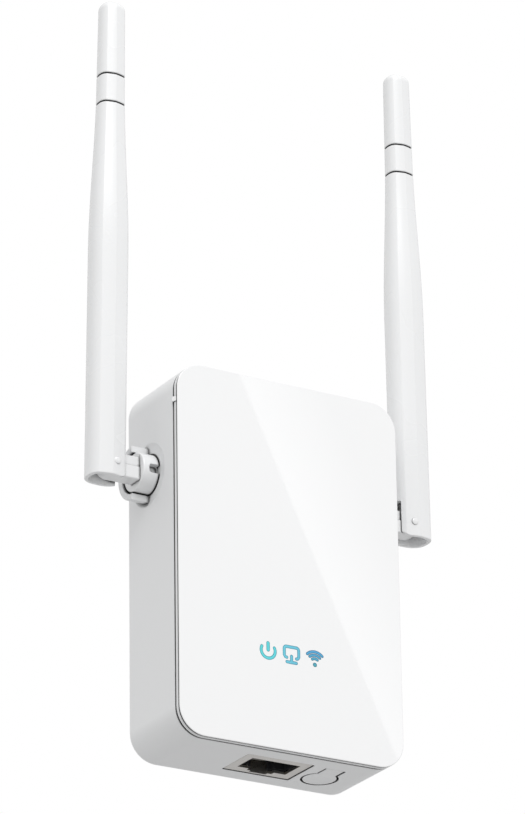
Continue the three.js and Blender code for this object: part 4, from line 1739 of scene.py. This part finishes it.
@dataclass
class Studio:
    """Camera, lamp, reflector card, floor and surroundings."""

    azimuth: float = 30.81
    elevation: float = 22.77
    roll: float = 0.87
    distance_m: float = 1.06
    lens: float = 216.3
    aim_m: tuple[float, float, float] = (-0.0039, -0.0179, 0.0228)
    floor_m: float = -2.2
    floor_half_m: float = 8.0
    floor_grey: float = 0.65
    ambient: float = 0.79
    key_watts: float = 21.5
    key_spot_m: tuple[float, float, float] = (-0.3, -1.5, 1.6)
    key_size_m: tuple[float, float] = (1.2, 1.2)
    card_width_m: float = 0.046
    card_length_m: float = 0.9
    card_glow: float = 1.35
    card_corner_m: tuple[float, float, float] = (0.6286, -1.108, 0.5659)
    card_along: tuple[float, float, float] = (0.4208, 0, -0.9071)
    card_across: tuple[float, float, float] = (0.9071, 0, 0.4208)

    def camera(self) -> None:
        """Set the camera low and to the left, looking up at the extender."""
        a, e = math.radians(self.azimuth), math.radians(self.elevation)
        ahead = Vector((math.sin(a) * math.cos(e), math.cos(a) * math.cos(e), math.sin(e)))
        level = Vector((math.cos(a), -math.sin(a), 0.0))
        above = level.cross(ahead)
        c, s = math.cos(math.radians(self.roll)), math.sin(math.radians(self.roll))
        right, up = level * c - above * s, level * s + above * c
        data = bpy.data.cameras.new("camera")
        data.lens, data.sensor_width = self.lens, 36.0
        data.clip_start, data.clip_end = 0.01, 20.0
        camera = bpy.data.objects.new("camera", data)
        bpy.context.scene.collection.objects.link(camera)
        turn = Matrix((right, up, -ahead)).transposed().to_4x4()
        camera.matrix_world = Matrix.Translation(Vector(self.aim_m) - ahead * self.distance_m) @ turn
        bpy.context.scene.camera = camera

    def key_lamp(self) -> None:
        """Add the one soft rectangular lamp, above and in front, pointing at the origin."""
        data = bpy.data.lights.new("key", "AREA")
        data.shape, data.size, data.size_y, data.energy = "RECTANGLE", *self.key_size_m, self.key_watts
        lamp = bpy.data.objects.new("key", data)
        bpy.context.scene.collection.objects.link(lamp)
        spot = Vector(self.key_spot_m)
        turn = (-spot).to_track_quat("-Z", "Y").to_matrix().to_4x4()
        lamp.matrix_world = Matrix.Translation(spot) @ turn

    def surroundings(self) -> None:
        """White to the camera, and a softer pale grey as light."""
        world = bpy.data.worlds.new("studio")
        bpy.context.scene.world = world
        world.use_nodes = True
        graph = Graph(world.node_tree)
        seen = graph.node("ShaderNodeLightPath").outputs["Is Camera Ray"]
        soft = graph.node("ShaderNodeBackground", {"Color": (1, 1, 1, 1), "Strength": self.ambient})
        plain = graph.node("ShaderNodeBackground", {"Color": (1, 1, 1, 1), "Strength": 1.0})
        both = graph.node("ShaderNodeMixShader", {0: seen, 1: soft.outputs[0], 2: plain.outputs[0]})
        graph.node("ShaderNodeOutputWorld", {"Surface": both.outputs[0]})

    def floor(self) -> None:
        """A plain pale floor far below the extender, as under a wall outlet."""
        shape = bmesh.new()
        bmesh.ops.create_grid(shape, x_segments=8, y_segments=8, size=self.floor_half_m)
        floor = object_from_bmesh("floor", shape)
        floor.location.z = self.floor_m
        pale = Material("pale_floor")
        grey = rgba((self.floor_grey,) * 3)
        drift = pale.group(colour_drift(), {"Colour": grey, "Amount": 0.02, "Scale": 2.0})
        pale.set(Base_Color=drift.outputs["Colour"], Roughness=0.8)
        floor.data.materials.append(pale.data)
        floor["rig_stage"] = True

    def reflector(self) -> None:
        """A bright card that the polished panel mirrors as a slanting band, sharp on one side only."""
        corner = Vector(self.card_corner_m)
        along, across = Vector(self.card_along), Vector(self.card_across)
        shape = bmesh.new()
        bmesh.ops.create_grid(shape, x_segments=12, y_segments=12, size=0.5)
        shape.transform(Matrix.Translation((0.5, 0, 0)))
        card = object_from_bmesh("reflector_card", shape)
        turn = Matrix((across, along, across.cross(along))).transposed().to_4x4()
        size = Matrix.Diagonal((self.card_width_m, self.card_length_m, 1, 1))
        card.matrix_world = Matrix.Translation(corner + along * 0.1) @ turn @ size
        glow = bpy.data.materials.new("reflector_glow")
        glow.use_nodes = True
        graph = Graph(glow.node_tree)
        place = graph.node("ShaderNodeTexCoord").outputs["Object"]
        away = graph.node("ShaderNodeSeparateXYZ", {0: place}).outputs["X"]
        fade = graph.maths("SUBTRACT", 1.0, graph.ramp(away, 0.0, 1.0))
        strength = graph.maths("ADD", graph.maths("MULTIPLY", fade, self.card_glow), self.ambient)
        light = graph.node("ShaderNodeEmission", {"Strength": strength})
        graph.node("ShaderNodeOutputMaterial", {"Surface": light.outputs[0]})
        card.data.materials.append(glow)
        card.visible_camera = card.visible_diffuse = card.visible_shadow = False
        card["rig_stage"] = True

    def build(self) -> None:
        """Make the whole studio."""
        self.camera()
        self.surroundings()
        self.floor()
        self.reflector()
        self.key_lamp()
        bpy.context.scene.view_settings.view_transform = "Standard"


def write_sizes() -> None:
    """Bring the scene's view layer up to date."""
    bpy.context.view_layer.update()


def main() -> None:
    """Build the studio, then each sub-assembly in turn."""
    logging.basicConfig(level=logging.INFO, format="%(name)s: %(message)s")
    LOG.info("building the %s", ZONE)
    Studio().build()
    palette = Palette()
    parts: list[Assembly] = [
        Housing(palette),
        Icons(palette),
        Antenna(palette, side=Side.LEFT),
        Antenna(palette, side=Side.RIGHT),
        Jack(palette),
        Blades(palette),
        Inside(palette),
    ]
    for part in parts:
        part.build()
        LOG.info("%s: %d new pieces", type(part).__name__, len(part.made))
    write_sizes()


if __name__ == "__main__":
    main()
